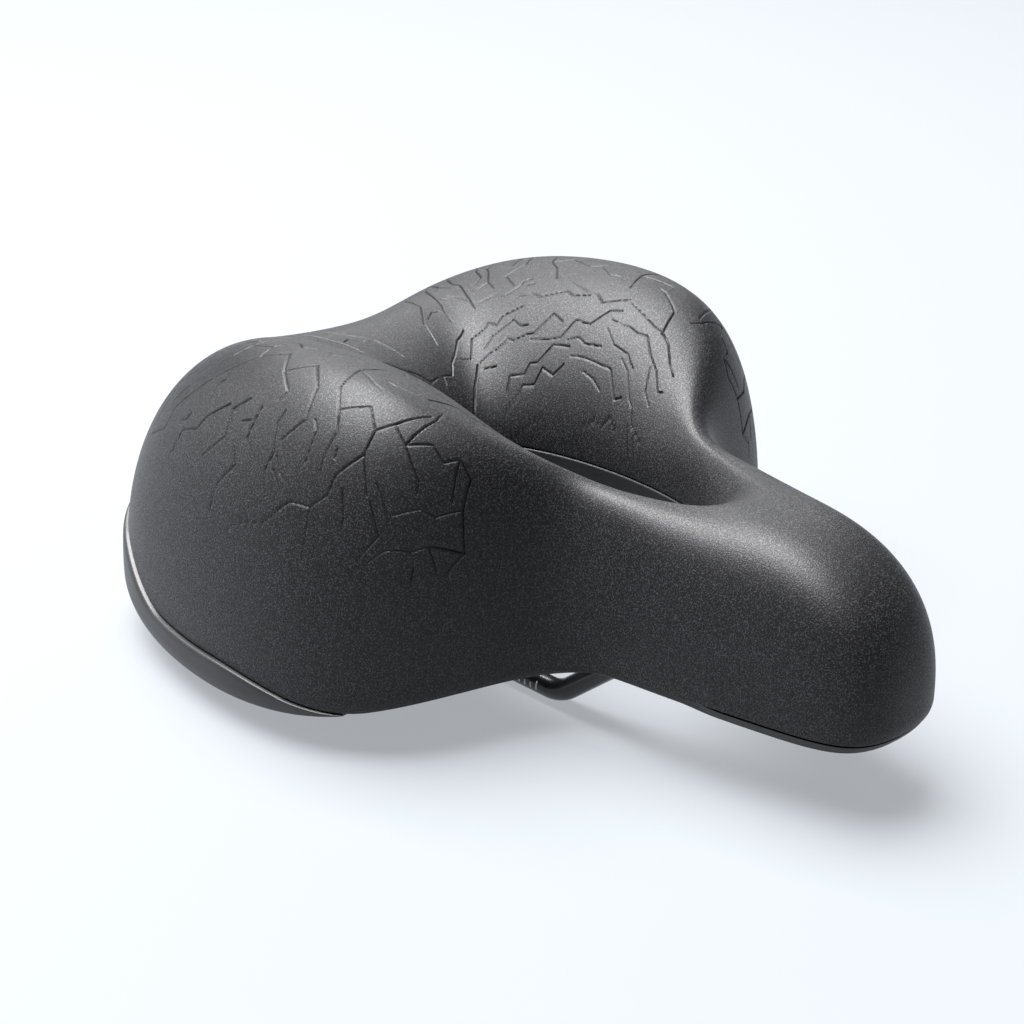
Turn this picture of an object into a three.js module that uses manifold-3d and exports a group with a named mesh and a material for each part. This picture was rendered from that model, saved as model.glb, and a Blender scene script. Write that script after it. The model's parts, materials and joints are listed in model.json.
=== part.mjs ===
// Bicycle saddle: a wide comfort saddle with a central relief hole, standing on its rails.
// Millimetres. +X is the rider's left wing, the nose points along -Y, +Z is up.
// The pad is a ring around the relief hole. A set of spokes runs from the hole's rim to the
// outline, and every skin, foam and shell surface is drawn in the plane of those spokes.

import * as THREE from 'three';
import { mergeVertices } from 'three/addons/utils/BufferGeometryUtils.js';
import Module from 'manifold-3d';

const wasm = await Module();
wasm.setup();

// ---------------------------------------------------------------- driving dimensions

const LENGTH = 270;               // pad, nose to tail
const WIDTH = 206;                // pad, wing to wing
const HOLE_LENGTH = 102;          // relief hole at its bottom rim
const HOLE_WIDTH = 39;
const HOLE_MIDDLE = -6;           // middle of the hole, from the middle of the pad
const HOLE_RIM = 60;              // height of the bottom of the hole's padded wall
const HOLE_ROUND = 1.8;           // superellipse power of the hole's padded wall

const FIT = 0.35;                 // gap between two faces that touch
const COVER_WALL = 2;
const SHELL_WALL = 2.8;
const HOLE_LEDGE = 5;             // flat of the shell under the hole's padded wall
const EDGE_LEDGE = 4.4;           // flange of the shell inside the edge of the pad
const NOSE_BAND = 3.2;            // the flange shows below the cover up to this station, then fades
const NOSE_BAND_FADE = 0.8;
const NOSE_FLANGE_OUT = 2.5;      // last station whose flange comes out flush with the cover
const DOME_ROUND = 2.6;           // superellipse power of the shell
const COLLAR_DROP = 9;            // collar of the shell around the hole
const COLLAR_WALL = 2.5;
const RIB_DROP = 9;
const RIB_WALL = 2.4;
const RIB_OFFSETS = [34, 62];     // lengthwise ribs, from the middle
const CROSS_RIBS = [-4, 30, 64];  // crosswise ribs

const BUMPER_PROUD = 1.6;         // the tail bumper stands out from the cover
const BUMPER_RISE = 11;           // its height above the edge of the pad
const BUMPER_TAIL_RISE = 9;       // how much higher it is behind the wings
const BUMPER_TAIL_REACH = 2.3;    // where it starts to be higher, in stations from the tail
const BUMPER_TAIL_FADE = 0.6;
const BUMPER_REACH = 3 + 2 / 3;   // its ends, in stations from the tail
const BUMPER_FADE = 1;            // stations over which its ends run out
const BUMPER_END = 3 + 1 / 3;     // where it is cut off, in stations from the tail
const END_PROUD = 0.15;           // share of its thickness outside the cover that is left there
const TAB_WALL = 2;
const TAB_LENGTH = 12;
const TAB_WIDTH = 7;
const TAB_STATIONS = [-0.45, 0, 0.45];
const TAB_ROOT = 1;               // how far a tab runs up into the bumper

const RAIL_R = 3.5;
const RAIL_GAUGE = 44;            // centre to centre in the clamp
const RAIL_CLAMP_FRONT = -20.5;   // corners of the level stretch
const RAIL_CLAMP_REAR = 52;
const RAIL_BEND = 13;
const NOSE_GAUGE = 24;
const NOSE_BAR_Y = -100;
const NOSE_BAR_Z = 38;
const NOSE_BEND = 6;
const FRONT_SLOPE = 39;           // degrees
const REAR_SLOPE = 50;

const YOKE_Y = 87;
const YOKE_BOTTOM = 18;
const YOKE_HEIGHT = 12;
const YOKE_DEPTH = 18;
const YOKE_PAD_R = 15;
const PUCK_X = 34;                // elastomers, from the middle
const PUCK_R = 13;
const PUCK_WAIST = 11.4;
const CUP_WALL = 1.5;
const CUP_OVERHANG = 0.8;         // cups are this much wider than the pucks
const BOSS_Z = 50;                // underside of the shell's bosses
const BOSS_R = 14;

const BOLT_R = 3;
const BOLT_PLAY = 1.2;            // bolt in the yoke, so that it can slide and tilt
const BOLT_HEAD_R = 5;
const BOLT_HEAD_H = 4;
const WASHER_R = 8;
const WASHER_H = 1.5;
const NUT_R = 5.5;
const NUT_H = 4.5;
const SCREW_R = 2;
const SCREW_HEAD_R = 3.8;
const SCREW_HEAD_H = 2.6;
const SOCKET_DEPTH = 1.6;
const SOCKET_SHARE = 0.52;        // radius of a hexagon socket in its head
const HEAD_CHAMFER = 0.4;
const PAST = 1;                   // cutting tools reach this far past a face

const CAP_WIDTH = 11;
const CAP_LENGTH = 36;
const CAP_HEIGHT = 7;
const CAP_SCREW_PITCH = 25;
const NOSE_SCREW_BITE = 9;        // how far its screws reach above the nose bar's middle

const SPOKES_PER_STATION = 3;
const WALL_STEPS = 6;             // facets on the hole's padded wall
const FLANK_STEPS = 9;            // facets from the crest to the edge
const DOME_STEPS = 7;

// Half of the outline, nose to tail. x and y are the control points of a closed B-spline, which
// is then fitted to LENGTH and WIDTH. turn swings the spoke on the hole's rim, in degrees.
// crest and edge are heights, lean is the crest's place along the spoke, side is the superellipse
// power of the flank, belly is how far up the flank is widest, and tuck pulls the edge in.
const STATIONS = [
  { x: 0, y: -152, turn: 0, crest: 80.5, edge: 24.5, lean: 0.26, side: 2.5, belly: 0.14, tuck: 3 },
  { x: 22, y: -148, turn: -6, crest: 80.5, edge: 24.5, lean: 0.26, side: 2.5, belly: 0.14, tuck: 3 },
  { x: 28, y: -122, turn: -10, crest: 78.5, edge: 24.5, lean: 0.26, side: 2.5, belly: 0.1, tuck: 2.5 },
  { x: 36, y: -73, turn: -12, crest: 78.5, edge: 24.5, lean: 0.26, side: 2.5, belly: 0.06, tuck: 2 },
  { x: 33, y: -38, turn: -12, crest: 80, edge: 19.5, lean: 0.45, side: 2.4, belly: 0.06, tuck: 2 },
  { x: 88, y: -29, turn: -10, crest: 97, edge: 20.8, lean: 0.56, side: 2, belly: 0.06, tuck: 2 },
  { x: 115, y: 12.5, turn: -8, crest: 112, edge: 8.3, lean: 0.52, side: 2, belly: 0.06, tuck: 2 },
  { x: 103, y: 109, turn: -5, crest: 107, edge: 8, lean: 0.52, side: 2, belly: 0.06, tuck: 2 },
  { x: 64.5, y: 147, turn: -2, crest: 92.5, edge: 25.5, lean: 0.5, side: 2, belly: 0.06, tuck: 1.5 },
  { x: 0, y: 110.5, turn: 0, crest: 93, edge: 25.5, lean: 0.5, side: 2.2, belly: 0.06, tuck: 1.5 },
];

// ---------------------------------------------------------------- outline and spokes

const mirrored = (row) => ({ ...row, x: -row.x, turn: -row.turn });
const RING = [...STATIONS, ...STATIONS.slice(1, -1).reverse().map(mirrored)];
const TAIL = STATIONS.length - 1;                 // station number of the tail
const SPOKES = RING.length * SPOKES_PER_STATION;
const radians = THREE.MathUtils.degToRad;

// Closed uniform cubic B-spline through the named column, at station number u.
function blend(u, key) {
  const k = Math.floor(u);
  const f = u - k;
  const weights = [(1 - f) ** 3, 3 * f ** 3 - 6 * f ** 2 + 4, -3 * f ** 3 + 3 * f ** 2 + 3 * f + 1, f ** 3];
  const row = (i) => RING[(k - 1 + i + RING.length) % RING.length];
  return weights.reduce((sum, w, i) => sum + w * row(i)[key], 0) / 6;
}

// The outline is stretched so that the finished pad is exactly LENGTH by WIDTH.
function outlineFit() {
  const samples = Array.from({ length: 40 * RING.length }, (_, i) => i / 40);
  const ys = samples.map((u) => blend(u, 'y'));
  const halfWidth = Math.max(...samples.map((u) => blend(u, 'x')));
  const [front, rear] = [Math.min(...ys), Math.max(...ys)];
  return { x: WIDTH / 2 / halfWidth, y: LENGTH / (rear - front), middle: (front + rear) / 2 };
}
const fit = outlineFit();

const smooth = (t) => THREE.MathUtils.smoothstep(t, 0, 1);
const bumperShare = (u) => smooth((BUMPER_REACH - Math.abs(u - TAIL)) / BUMPER_FADE);
const bumperRise = (u) => BUMPER_RISE * bumperShare(u)
  + BUMPER_TAIL_RISE * smooth((BUMPER_TAIL_REACH - Math.abs(u - TAIL)) / BUMPER_TAIL_FADE);

const outlinePoint = (u) => new THREE.Vector2(blend(u, 'x') * fit.x, (blend(u, 'y') - fit.middle) * fit.y);

function outlineNormal(u) {
  const tangent = outlinePoint(u + 0.02).sub(outlinePoint(u - 0.02 + RING.length)).normalize();
  return new THREE.Vector2(tangent.y, -tangent.x);
}

// A spoke crosses the outline and the rim at a slant: lengths square to them are longer along it
// by slant and rimSlant. reach is its length to the outline, foot its length to the tucked edge.
function spokeAt(u) {
  const angle = radians((u * 360) / RING.length + blend(u, 'turn'));
  const inner = new THREE.Vector2(
    (HOLE_WIDTH / 2) * Math.sin(angle),
    HOLE_MIDDLE - (HOLE_LENGTH / 2) * Math.cos(angle),
  );
  const outer = outlinePoint(u);
  const row = Object.fromEntries(
    ['crest', 'edge', 'lean', 'side', 'belly', 'tuck'].map((key) => [key, blend(u, key)]),
  );
  const reach = outer.distanceTo(inner);
  const along = outer.clone().sub(inner).normalize();
  const slant = 1 / along.dot(outlineNormal(u));
  const rimNormal = new THREE.Vector2(Math.sin(angle) / HOLE_WIDTH, -Math.cos(angle) / HOLE_LENGTH);
  const rimSlant = 1 / along.dot(rimNormal.normalize());
  return { u, inner, along, reach, slant, rimSlant, ...row, foot: reach - row.tuck };
}
const SPOKE_LIST = Array.from({ length: SPOKES }, (_, i) => spokeAt(i / SPOKES_PER_STATION));

// ---------------------------------------------------------------- curves in a spoke's plane
// A curve point is [distance from the hole's rim along the spoke, height].

// Sinks a point by a depth square to the surface, whose contour crosses the spoke at a slant.
const sunk = ([s, z], [ns, nz], depth, slant) => {
  const shift = (depth * Math.hypot(ns * slant, nz)) / (ns * ns + nz * nz);
  return [s - shift * ns, z - shift * nz];
};

// Padded wall of the hole: a quarter superellipse from its rim (t = 0) up to the crest (t = 1).
function wallPoint(sp, t, depth) {
  const a = (t * Math.PI) / 2;
  const run = sp.lean * sp.reach;
  const rise = sp.crest - HOLE_RIM;
  const back = Math.cos(a) ** (2 / HOLE_ROUND);
  const up = Math.sin(a) ** (2 / HOLE_ROUND);
  const normal = [-(back ** (HOLE_ROUND - 1)) / run, up ** (HOLE_ROUND - 1) / rise];
  return sunk([run * (1 - back), HOLE_RIM + rise * up], normal, depth, sp.rimSlant);
}

// Flank: a quarter superellipse from the crest (t = 0) out to the belly, then a parabola that
// tucks in to the edge (t = 1).
const BELLY_T = 0.88;
function flankPoint(sp, t, depth) {
  const start = sp.lean * sp.reach;
  const belly = sp.edge + sp.belly * (sp.crest - sp.edge);
  if (t <= BELLY_T) {
    const a = ((t / BELLY_T) * Math.PI) / 2;
    const out = Math.sin(a) ** (2 / sp.side);
    const up = Math.max(Math.cos(a), 0) ** (2 / sp.side);
    const normal = [out ** (sp.side - 1) / (sp.reach - start), up ** (sp.side - 1) / (sp.crest - belly)];
    return sunk([start + (sp.reach - start) * out, belly + (sp.crest - belly) * up], normal, depth, sp.slant);
  }
  const q = (t - BELLY_T) / (1 - BELLY_T);
  const drop = belly - sp.edge;
  return sunk([sp.reach - sp.tuck * q * q, belly - drop * q], [drop, -2 * sp.tuck * q], depth, sp.slant);
}

// Where the flank comes down to a height.
function flankParameter(sp, height) {
  let [low, high] = [0, 1];
  for (let i = 0; i < 40; i++) {
    const middle = (low + high) / 2;
    if (flankPoint(sp, middle, 0)[1] > height) low = middle;
    else high = middle;
  }
  return high;
}

const steps = (count, from = 0, to = 1) =>
  Array.from({ length: count + 1 }, (_, i) => from + ((to - from) * i) / count);

// The flange of the shell lies level with the pad's edge, and the foam ends on top of it.
const flangeTop = (sp) => sp.edge + SHELL_WALL;
const foamFoot = (sp) => flangeTop(sp) + FIT;

// The cover wraps the flange, except along the nose, where it ends above it, and at the tail,
// where it ends on the bumper.
const fromNose = (u) => Math.min(u, RING.length - u);
const noseShare = (u) => smooth((NOSE_BAND + NOSE_BAND_FADE - fromNose(u)) / NOSE_BAND_FADE);
const coverEdge = (sp) => flankParameter(
  sp, sp.edge + (SHELL_WALL + FIT) * noseShare(sp.u) + bumperRise(sp.u));

// The pad's upper surface, sunk by a depth, from the hole's rim to the lower edge of the cover.
function padCurve(sp, depth) {
  const wall = steps(WALL_STEPS).map((t) => wallPoint(sp, t, depth));
  const flank = steps(FLANK_STEPS, 0, coverEdge(sp)).slice(1).map((t) => flankPoint(sp, t, depth));
  return [...wall, ...flank];
}

// The stretch of flank that the bumper covers, from the cover's edge to the edge of the pad.
const bumperCurve = (sp, depth) => steps(2, coverEdge(sp), 1).slice(1).map((t) => flankPoint(sp, t, depth));

// Where a curve that ends by coming down passes a height.
function crossing(curve, height) {
  const i = curve.findIndex(([, z]) => z < height);
  const [[s0, z0], [s1, z1]] = [curve[i - 1], curve[i]];
  return [s0 + ((s1 - s0) * (z0 - height)) / (z0 - z1), height];
}
const stoppedAt = (curve, height) => curve.map((p) => (p[1] < height ? crossing(curve, height) : p));

// Dome of the shell: a quarter superellipse between two corners.
function domeCurve([s0, z0], [s1, z1], count) {
  return steps(count).map((t) => {
    const a = (t * Math.PI) / 2;
    const out = Math.sin(a) ** (2 / DOME_ROUND);
    const up = Math.max(Math.cos(a), 0) ** (2 / DOME_ROUND);
    return [s0 + (s1 - s0) * out, z1 + (z0 - z1) * up];
  });
}

// ---------------------------------------------------------------- solids

const toWorld = (sp, [s, z]) => [sp.inner.x + sp.along.x * s, sp.inner.y + sp.along.y * s, z];

// A closed solid from one closed loop of points per spoke. Without closing it gets end faces.
// Each four-sided patch is split along its shorter diagonal, so that facing surfaces stay parallel.
function loft(spokes, loopOf, closed = true) {
  const loops = spokes.map(loopOf);
  const width = loops[0].length;
  const position = spokes.flatMap((sp, i) => loops[i].flatMap((p) => toWorld(sp, p)));
  const apart = (a, b) => [0, 1, 2].reduce(
    (sum, k) => sum + (position[3 * a + k] - position[3 * b + k]) ** 2, 0);
  const index = [];
  const last = closed ? spokes.length : spokes.length - 1;
  for (let i = 0; i < last; i++) {
    const next = (i + 1) % spokes.length;
    for (let j = 0; j < width; j++) {
      const k = (j + 1) % width;
      const [a, b, c, d] = [i * width + j, next * width + j, next * width + k, i * width + k];
      if (apart(a, c) <= apart(b, d)) index.push(a, b, c, a, c, d);
      else index.push(a, b, d, b, c, d);
    }
  }
  if (!closed) {
    const cap = (i, flip) => {
      const flat = loops[i].map((p) => new THREE.Vector2(...p));
      for (const [a, b, c] of THREE.ShapeUtils.triangulateShape(flat, [])) {
        const face = [a, b, c].map((k) => i * width + k);
        index.push(...(flip ? face.reverse() : face));
      }
    };
    const turning = THREE.ShapeUtils.isClockWise(loops[0].map((p) => new THREE.Vector2(...p)));
    cap(0, turning);
    cap(spokes.length - 1, !turning);
  }
  const geometry = new THREE.BufferGeometry();
  geometry.setAttribute('position', new THREE.Float32BufferAttribute(position, 3));
  geometry.setIndex(index);
  return facingOut(welded(geometry));
}

// Merges equal corners and drops the triangles that this flattens.
function welded(geometry) {
  const bare = geometry.clone();
  bare.deleteAttribute('normal');
  bare.deleteAttribute('uv');
  const merged = mergeVertices(bare, 1e-3);
  const old = merged.getIndex().array;
  const kept = [];
  for (let i = 0; i < old.length; i += 3) {
    const [a, b, c] = old.slice(i, i + 3);
    if (a !== b && b !== c && c !== a) kept.push(a, b, c);
  }
  merged.setIndex(kept);
  return merged;
}

function facingOut(geometry) {
  const p = geometry.getAttribute('position');
  const index = geometry.getIndex().array;
  const corner = (i) => new THREE.Vector3().fromBufferAttribute(p, index[i]);
  let volume = 0;
  for (let i = 0; i < index.length; i += 3) {
    volume += corner(i).dot(corner(i + 1).cross(corner(i + 2)));
  }
  if (volume < 0) geometry.setIndex(Array.from(index).reverse());
  return geometry;
}

function solid(geometry) {
  const closed = facingOut(welded(geometry.index ? geometry : mergeVertices(geometry)));
  return new wasm.Manifold(new wasm.Mesh({
    numProp: 3,
    vertProperties: new Float32Array(closed.getAttribute('position').array),
    triVerts: new Uint32Array(closed.getIndex().array),
  }));
}

function geometryOf(manifold) {
  const mesh = manifold.getMesh();
  const geometry = new THREE.BufferGeometry();
  geometry.setAttribute('position', new THREE.Float32BufferAttribute(mesh.vertProperties, 3));
  geometry.setIndex(Array.from(mesh.triVerts));
  return geometry;
}

const join = (first, ...rest) => rest.reduce((a, b) => a.add(b), first);
const cut = (first, ...rest) => rest.reduce((a, b) => a.subtract(b), first);

const moved = (geometry, x, y, z) => geometry.translate(x, y, z);
const block = (width, depth, height, x, y, bottom) =>
  moved(new THREE.BoxGeometry(width, depth, height), x, y, bottom + height / 2);

// Upright round bar from one height to another.
const post = (r, x, y, bottom, top, sides = 16) =>
  moved(new THREE.CylinderGeometry(r, r, top - bottom, sides).rotateX(Math.PI / 2), x, y, (bottom + top) / 2);

// Solid of revolution about an upright axis, from [radius, height] points.
const turned = (points, x, y, sides = 18) =>
  moved(
    new THREE.LatheGeometry(points.map((p) => new THREE.Vector2(...p)), sides).rotateX(Math.PI / 2), x, y, 0);

const ringProfile = (inner, outer, bottom, top) =>
  [[inner, bottom], [outer, bottom], [outer, top], [inner, top], [inner, bottom]];

// ---------------------------------------------------------------- pad

const cover = () => loft(SPOKE_LIST, (sp) => [...padCurve(sp, 0), ...padCurve(sp, COVER_WALL).reverse()]);

function foamPad() {
  const depth = COVER_WALL + FIT;
  return loft(SPOKE_LIST, (sp) => {
    const base = domeCurve(
      [HOLE_LEDGE * sp.rimSlant, HOLE_RIM], [sp.foot - (EDGE_LEDGE - FIT) * sp.slant, foamFoot(sp)], DOME_STEPS);
    const side = bumperCurve(sp, depth + FIT * bumperShare(sp.u));
    return [...stoppedAt([...padCurve(sp, depth), ...side], foamFoot(sp)), ...base.reverse()];
  });
}

// ---------------------------------------------------------------- shell

const flangeOut = (u) => smooth(SPOKES_PER_STATION * (NOSE_FLANGE_OUT - fromNose(u)) + 0.5);

// Rim of the flange: it follows the inside of the cover or the bumper, or is flush with the cover.
function flangeRim(sp) {
  const depth = (COVER_WALL + FIT) * (1 - flangeOut(sp.u));
  const line = [...padCurve(sp, depth), ...bumperCurve(sp, depth)];
  const [s, z] = line.at(-1);
  const top = flangeTop(sp);
  return [crossing([...line, [s, sp.edge]], top), [s, Math.min(z, top)], [s, sp.edge]];
}
const SHELL_TOP = HOLE_RIM - FIT;

// Inner face of the dome, as the curve that the ribs and bosses hang from.
const domeInside = (sp, drop) => domeCurve(
  [HOLE_LEDGE * sp.rimSlant, SHELL_TOP - drop],
  [sp.foot - (EDGE_LEDGE + SHELL_WALL) * sp.slant, sp.edge],
  DOME_STEPS,
);

function shellSheet() {
  return loft(SPOKE_LIST, (sp) => [
    [0, SHELL_TOP],
    ...domeCurve(
      [HOLE_LEDGE * sp.rimSlant, SHELL_TOP], [sp.foot - EDGE_LEDGE * sp.slant, flangeTop(sp)], DOME_STEPS),
    ...flangeRim(sp),
    ...domeInside(sp, SHELL_WALL).reverse(),
    [COLLAR_WALL * sp.rimSlant, SHELL_TOP - SHELL_WALL],
    [COLLAR_WALL * sp.rimSlant, SHELL_TOP - COLLAR_DROP],
    [0, SHELL_TOP - COLLAR_DROP],
  ]);
}

// The space under the dome, down to a height that follows the dome or is level.
function underDome(bottomCurve) {
  return solid(loft(SPOKE_LIST, (sp) => {
    const top = domeInside(sp, SHELL_WALL / 2).slice(0, -1);
    return [...top, ...bottomCurve(sp, top).reverse()];
  }));
}
const ribBand = (sp, top) => top.map(([s, z]) => [s, z - RIB_DROP - SHELL_WALL / 2]);
const levelBottom = (sp, top) => [[top[0][0], 0], [top.at(-1)[0], 0]];

function shellRibs() {
  const lengthwise = RIB_OFFSETS.flatMap((x) => [x, -x])
    .map((x) => solid(block(RIB_WALL, LENGTH, SHELL_TOP, x, 0, 0)));
  const crosswise = CROSS_RIBS.map((y) => solid(block(WIDTH, RIB_WALL, SHELL_TOP, 0, y, 0)));
  const middle = solid(block(RAIL_GAUGE + 6, LENGTH, SHELL_TOP, 0, 0, 0));
  const pucks = Object.values(PUCKS).map((x) => solid(post(BOSS_R + 2, x, YOKE_Y, 0, BOSS_Z)));
  return cut(join(...lengthwise, ...crosswise), middle, ...pucks).intersect(underDome(ribBand));
}

const PUCKS = { left: PUCK_X, right: -PUCK_X };
const CAP_SCREWS = { front: NOSE_BAR_Y - CAP_SCREW_PITCH / 2, rear: NOSE_BAR_Y + CAP_SCREW_PITCH / 2 };
const CAP_GAP = FIT / 2;

const noseBarHole = () => solid(
  moved(new THREE.CylinderGeometry(RAIL_R + FIT, RAIL_R + FIT, 3 * CAP_WIDTH, 24).rotateZ(Math.PI / 2),
    0, NOSE_BAR_Y, NOSE_BAR_Z));

function baseShell() {
  const bosses = Object.values(PUCKS).map((x) => solid(post(BOSS_R, x, YOKE_Y, BOSS_Z, SHELL_TOP, 24)));
  const noseBlock = solid(
    block(CAP_WIDTH, CAP_LENGTH, SHELL_TOP - NOSE_BAR_Z, 0, NOSE_BAR_Y, NOSE_BAR_Z + CAP_GAP));
  const hung = join(...bosses, noseBlock).intersect(underDome(levelBottom));
  const pockets = Object.values(PUCKS).map((x) => solid(
    post(NUT_R + FIT, x, YOKE_Y, BOSS_Z - PAST, BOSS_Z + NUT_H + 2 * FIT, 6)));
  const screwHoles = Object.values(CAP_SCREWS).map((y) => solid(
    post(SCREW_R + FIT, 0, y, NOSE_BAR_Z - PAST, NOSE_BAR_Z + NOSE_SCREW_BITE + FIT, 12)));
  const tabHoles = TAB_STATIONS.map((du) => solid(tabScrewHole(du)));
  return geometryOf(cut(
    join(solid(shellSheet()), shellRibs(), hung), ...pockets, ...screwHoles, ...tabHoles, noseBarHole()));
}

// ---------------------------------------------------------------- tail bumper

const BUMPER_SPOKES = SPOKE_LIST.filter((sp) => Math.abs(sp.u - TAIL) <= BUMPER_END + 1e-6);

function bumperLoop(sp) {
  const proud = BUMPER_PROUD * (END_PROUD + (1 - END_PROUD) * bumperShare(sp.u));
  const top = coverEdge(sp);
  const slip = (p) => [p[0], p[1] - FIT];
  const outside = [flankPoint(sp, top, -proud), ...bumperCurve(sp, -proud)].map(slip);
  const inside = [flankPoint(sp, top, COVER_WALL), ...bumperCurve(sp, COVER_WALL)].map(slip);
  return [...stoppedAt(outside, sp.edge), [inside.at(-1)[0], sp.edge], ...inside.reverse()];
}

// A tab lies under the flange, square to the outline, and is screwed up into it. Places on it are
// measured outwards from the tucked edge of the pad.
const tabSpoke = (du) => spokeAt(TAIL + du);
const tabTop = (sp) => sp.edge - 2 * FIT;
const TAB_SCREW_IN = SCREW_HEAD_R + 1 - TAB_LENGTH;

function fromEdge(sp, out) {
  const [x, y] = toWorld(sp, [sp.foot, 0]);
  return new THREE.Vector2(x, y).addScaledVector(outlineNormal(sp.u), out);
}

function bumperTab(du) {
  const sp = tabSpoke(du);
  const outer = BUMPER_PROUD / 2;
  const piece = (length, height, middle) => {
    const { x, y } = fromEdge(sp, outer - length / 2);
    const box = new THREE.BoxGeometry(length, TAB_WIDTH, height);
    return solid(moved(box.rotateZ(outlineNormal(sp.u).angle()), x, y, middle));
  };
  return join(
    piece(TAB_LENGTH, TAB_WALL, tabTop(sp) - TAB_WALL / 2),
    piece(COVER_WALL, TAB_WALL + TAB_ROOT, tabTop(sp) + (TAB_ROOT - TAB_WALL) / 2),
  );
}

function tabScrewHole(du) {
  const sp = tabSpoke(du);
  const { x, y } = fromEdge(sp, TAB_SCREW_IN);
  return post(SCREW_R + FIT, x, y, tabTop(sp) - TAB_WALL - PAST, flangeTop(sp) + PAST, 12);
}

const rearBumper = () => geometryOf(cut(
  join(solid(loft(BUMPER_SPOKES, bumperLoop, false)), ...TAB_STATIONS.map(bumperTab)),
  ...TAB_STATIONS.map((du) => solid(tabScrewHole(du))),
));

// ---------------------------------------------------------------- rails and suspension

// Straight runs with a rounded bend at each corner.
function bentPath(corners, bends) {
  const path = new THREE.CurvePath();
  let from = corners[0];
  for (let i = 1; i < corners.length - 1; i++) {
    const corner = corners[i];
    const back = corners[i - 1].clone().sub(corner).normalize();
    const on = corners[i + 1].clone().sub(corner).normalize();
    const setBack = bends[i - 1] / Math.tan(back.angleTo(on) / 2);
    const start = corner.clone().addScaledVector(back, setBack);
    const end = corner.clone().addScaledVector(on, setBack);
    path.add(new THREE.LineCurve3(from, start));
    path.add(new THREE.QuadraticBezierCurve3(start, corner, end));
    from = end;
  }
  path.add(new THREE.LineCurve3(from, corners.at(-1)));
  return path;
}

const CLAMP_Z = RAIL_R;
const YOKE_RAIL_Z = YOKE_BOTTOM + YOKE_HEIGHT / 2;
const RAIL_END = YOKE_Y + YOKE_DEPTH / 2 - 3;
const FRONT_RISE_END = RAIL_CLAMP_FRONT - (NOSE_BAR_Z - CLAMP_Z) / Math.tan(radians(FRONT_SLOPE));
const REAR_RISE_END = RAIL_CLAMP_REAR + (YOKE_RAIL_Z - CLAMP_Z) / Math.tan(radians(REAR_SLOPE));

function railCorners() {
  const [wide, narrow] = [RAIL_GAUGE / 2, NOSE_GAUGE / 2];
  const side = (sign) => [
    new THREE.Vector3(sign * wide, RAIL_END, YOKE_RAIL_Z),
    new THREE.Vector3(sign * wide, REAR_RISE_END, YOKE_RAIL_Z),
    new THREE.Vector3(sign * wide, RAIL_CLAMP_REAR, CLAMP_Z),
    new THREE.Vector3(sign * wide, RAIL_CLAMP_FRONT, CLAMP_Z),
    new THREE.Vector3(sign * narrow, FRONT_RISE_END, NOSE_BAR_Z),
    new THREE.Vector3(sign * narrow, NOSE_BAR_Y, NOSE_BAR_Z),
  ];
  return [...side(1), ...side(-1).reverse()];
}

function railFrame() {
  const bends = [RAIL_BEND, RAIL_BEND, RAIL_BEND, RAIL_BEND, NOSE_BEND];
  const path = bentPath(railCorners(), [...bends, ...[...bends].reverse()]);
  const section = new THREE.Shape().absarc(0, 0, RAIL_R, 0, 2 * Math.PI);
  return new THREE.ExtrudeGeometry(section, { steps: 72, curveSegments: 6, extrudePath: path });
}

function rearYoke() {
  const half = YOKE_DEPTH / 2;
  const swing = Math.asin(half / YOKE_PAD_R);
  const outline = new THREE.Shape();
  outline.absarc(PUCK_X, YOKE_Y, YOKE_PAD_R, swing - Math.PI, Math.PI - swing);
  outline.absarc(-PUCK_X, YOKE_Y, YOKE_PAD_R, swing, 2 * Math.PI - swing);
  const plate = moved(
    new THREE.ExtrudeGeometry(outline, { depth: YOKE_HEIGHT, bevelEnabled: false, curveSegments: 12 }),
    0, 0, YOKE_BOTTOM);
  const boltHoles = Object.values(PUCKS).map((x) => solid(
    post(BOLT_R + BOLT_PLAY, x, YOKE_Y, YOKE_BOTTOM - PAST, YOKE_BOTTOM + YOKE_HEIGHT + PAST)));
  const sockets = [1, -1].map((sign) => {
    const depth = RAIL_END + FIT - (YOKE_Y - YOKE_DEPTH);
    const bore = new THREE.CylinderGeometry(RAIL_R + FIT, RAIL_R + FIT, depth, 24);
    return solid(moved(bore, (sign * RAIL_GAUGE) / 2, RAIL_END + FIT - depth / 2, YOKE_RAIL_Z));
  });
  const screwHoles = [1, -1].map((sign) => solid(
    post(SCREW_R + FIT, (sign * RAIL_GAUGE) / 2, YOKE_Y, YOKE_BOTTOM - PAST, YOKE_RAIL_Z, 12)));
  return geometryOf(cut(solid(plate), ...boltHoles, ...sockets, ...screwHoles));
}

// Elastomer puck with a waist, and a bore for its bolt.
const CUP_BOTTOM = YOKE_BOTTOM + YOKE_HEIGHT + FIT;
const PUCK_BOTTOM = CUP_BOTTOM + CUP_WALL + FIT;
const UPPER_CUP_TOP = BOSS_Z - FIT;
const PUCK_TOP = UPPER_CUP_TOP - CUP_WALL - FIT;
function puck(x) {
  const bore = BOLT_R + BOLT_PLAY;
  const height = PUCK_TOP - PUCK_BOTTOM;
  const side = steps(6).map((t) => [
    PUCK_R - (PUCK_R - PUCK_WAIST) * Math.sin(Math.PI * t) ** 2, PUCK_BOTTOM + height * t]);
  return turned([[bore, PUCK_BOTTOM], ...side, [bore, PUCK_TOP], [bore, PUCK_BOTTOM]], x, YOKE_Y);
}

const cup = (x, bottom) => turned(
  ringProfile(BOLT_R + BOLT_PLAY, PUCK_R + CUP_OVERHANG, bottom, bottom + CUP_WALL), x, YOKE_Y);

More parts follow.
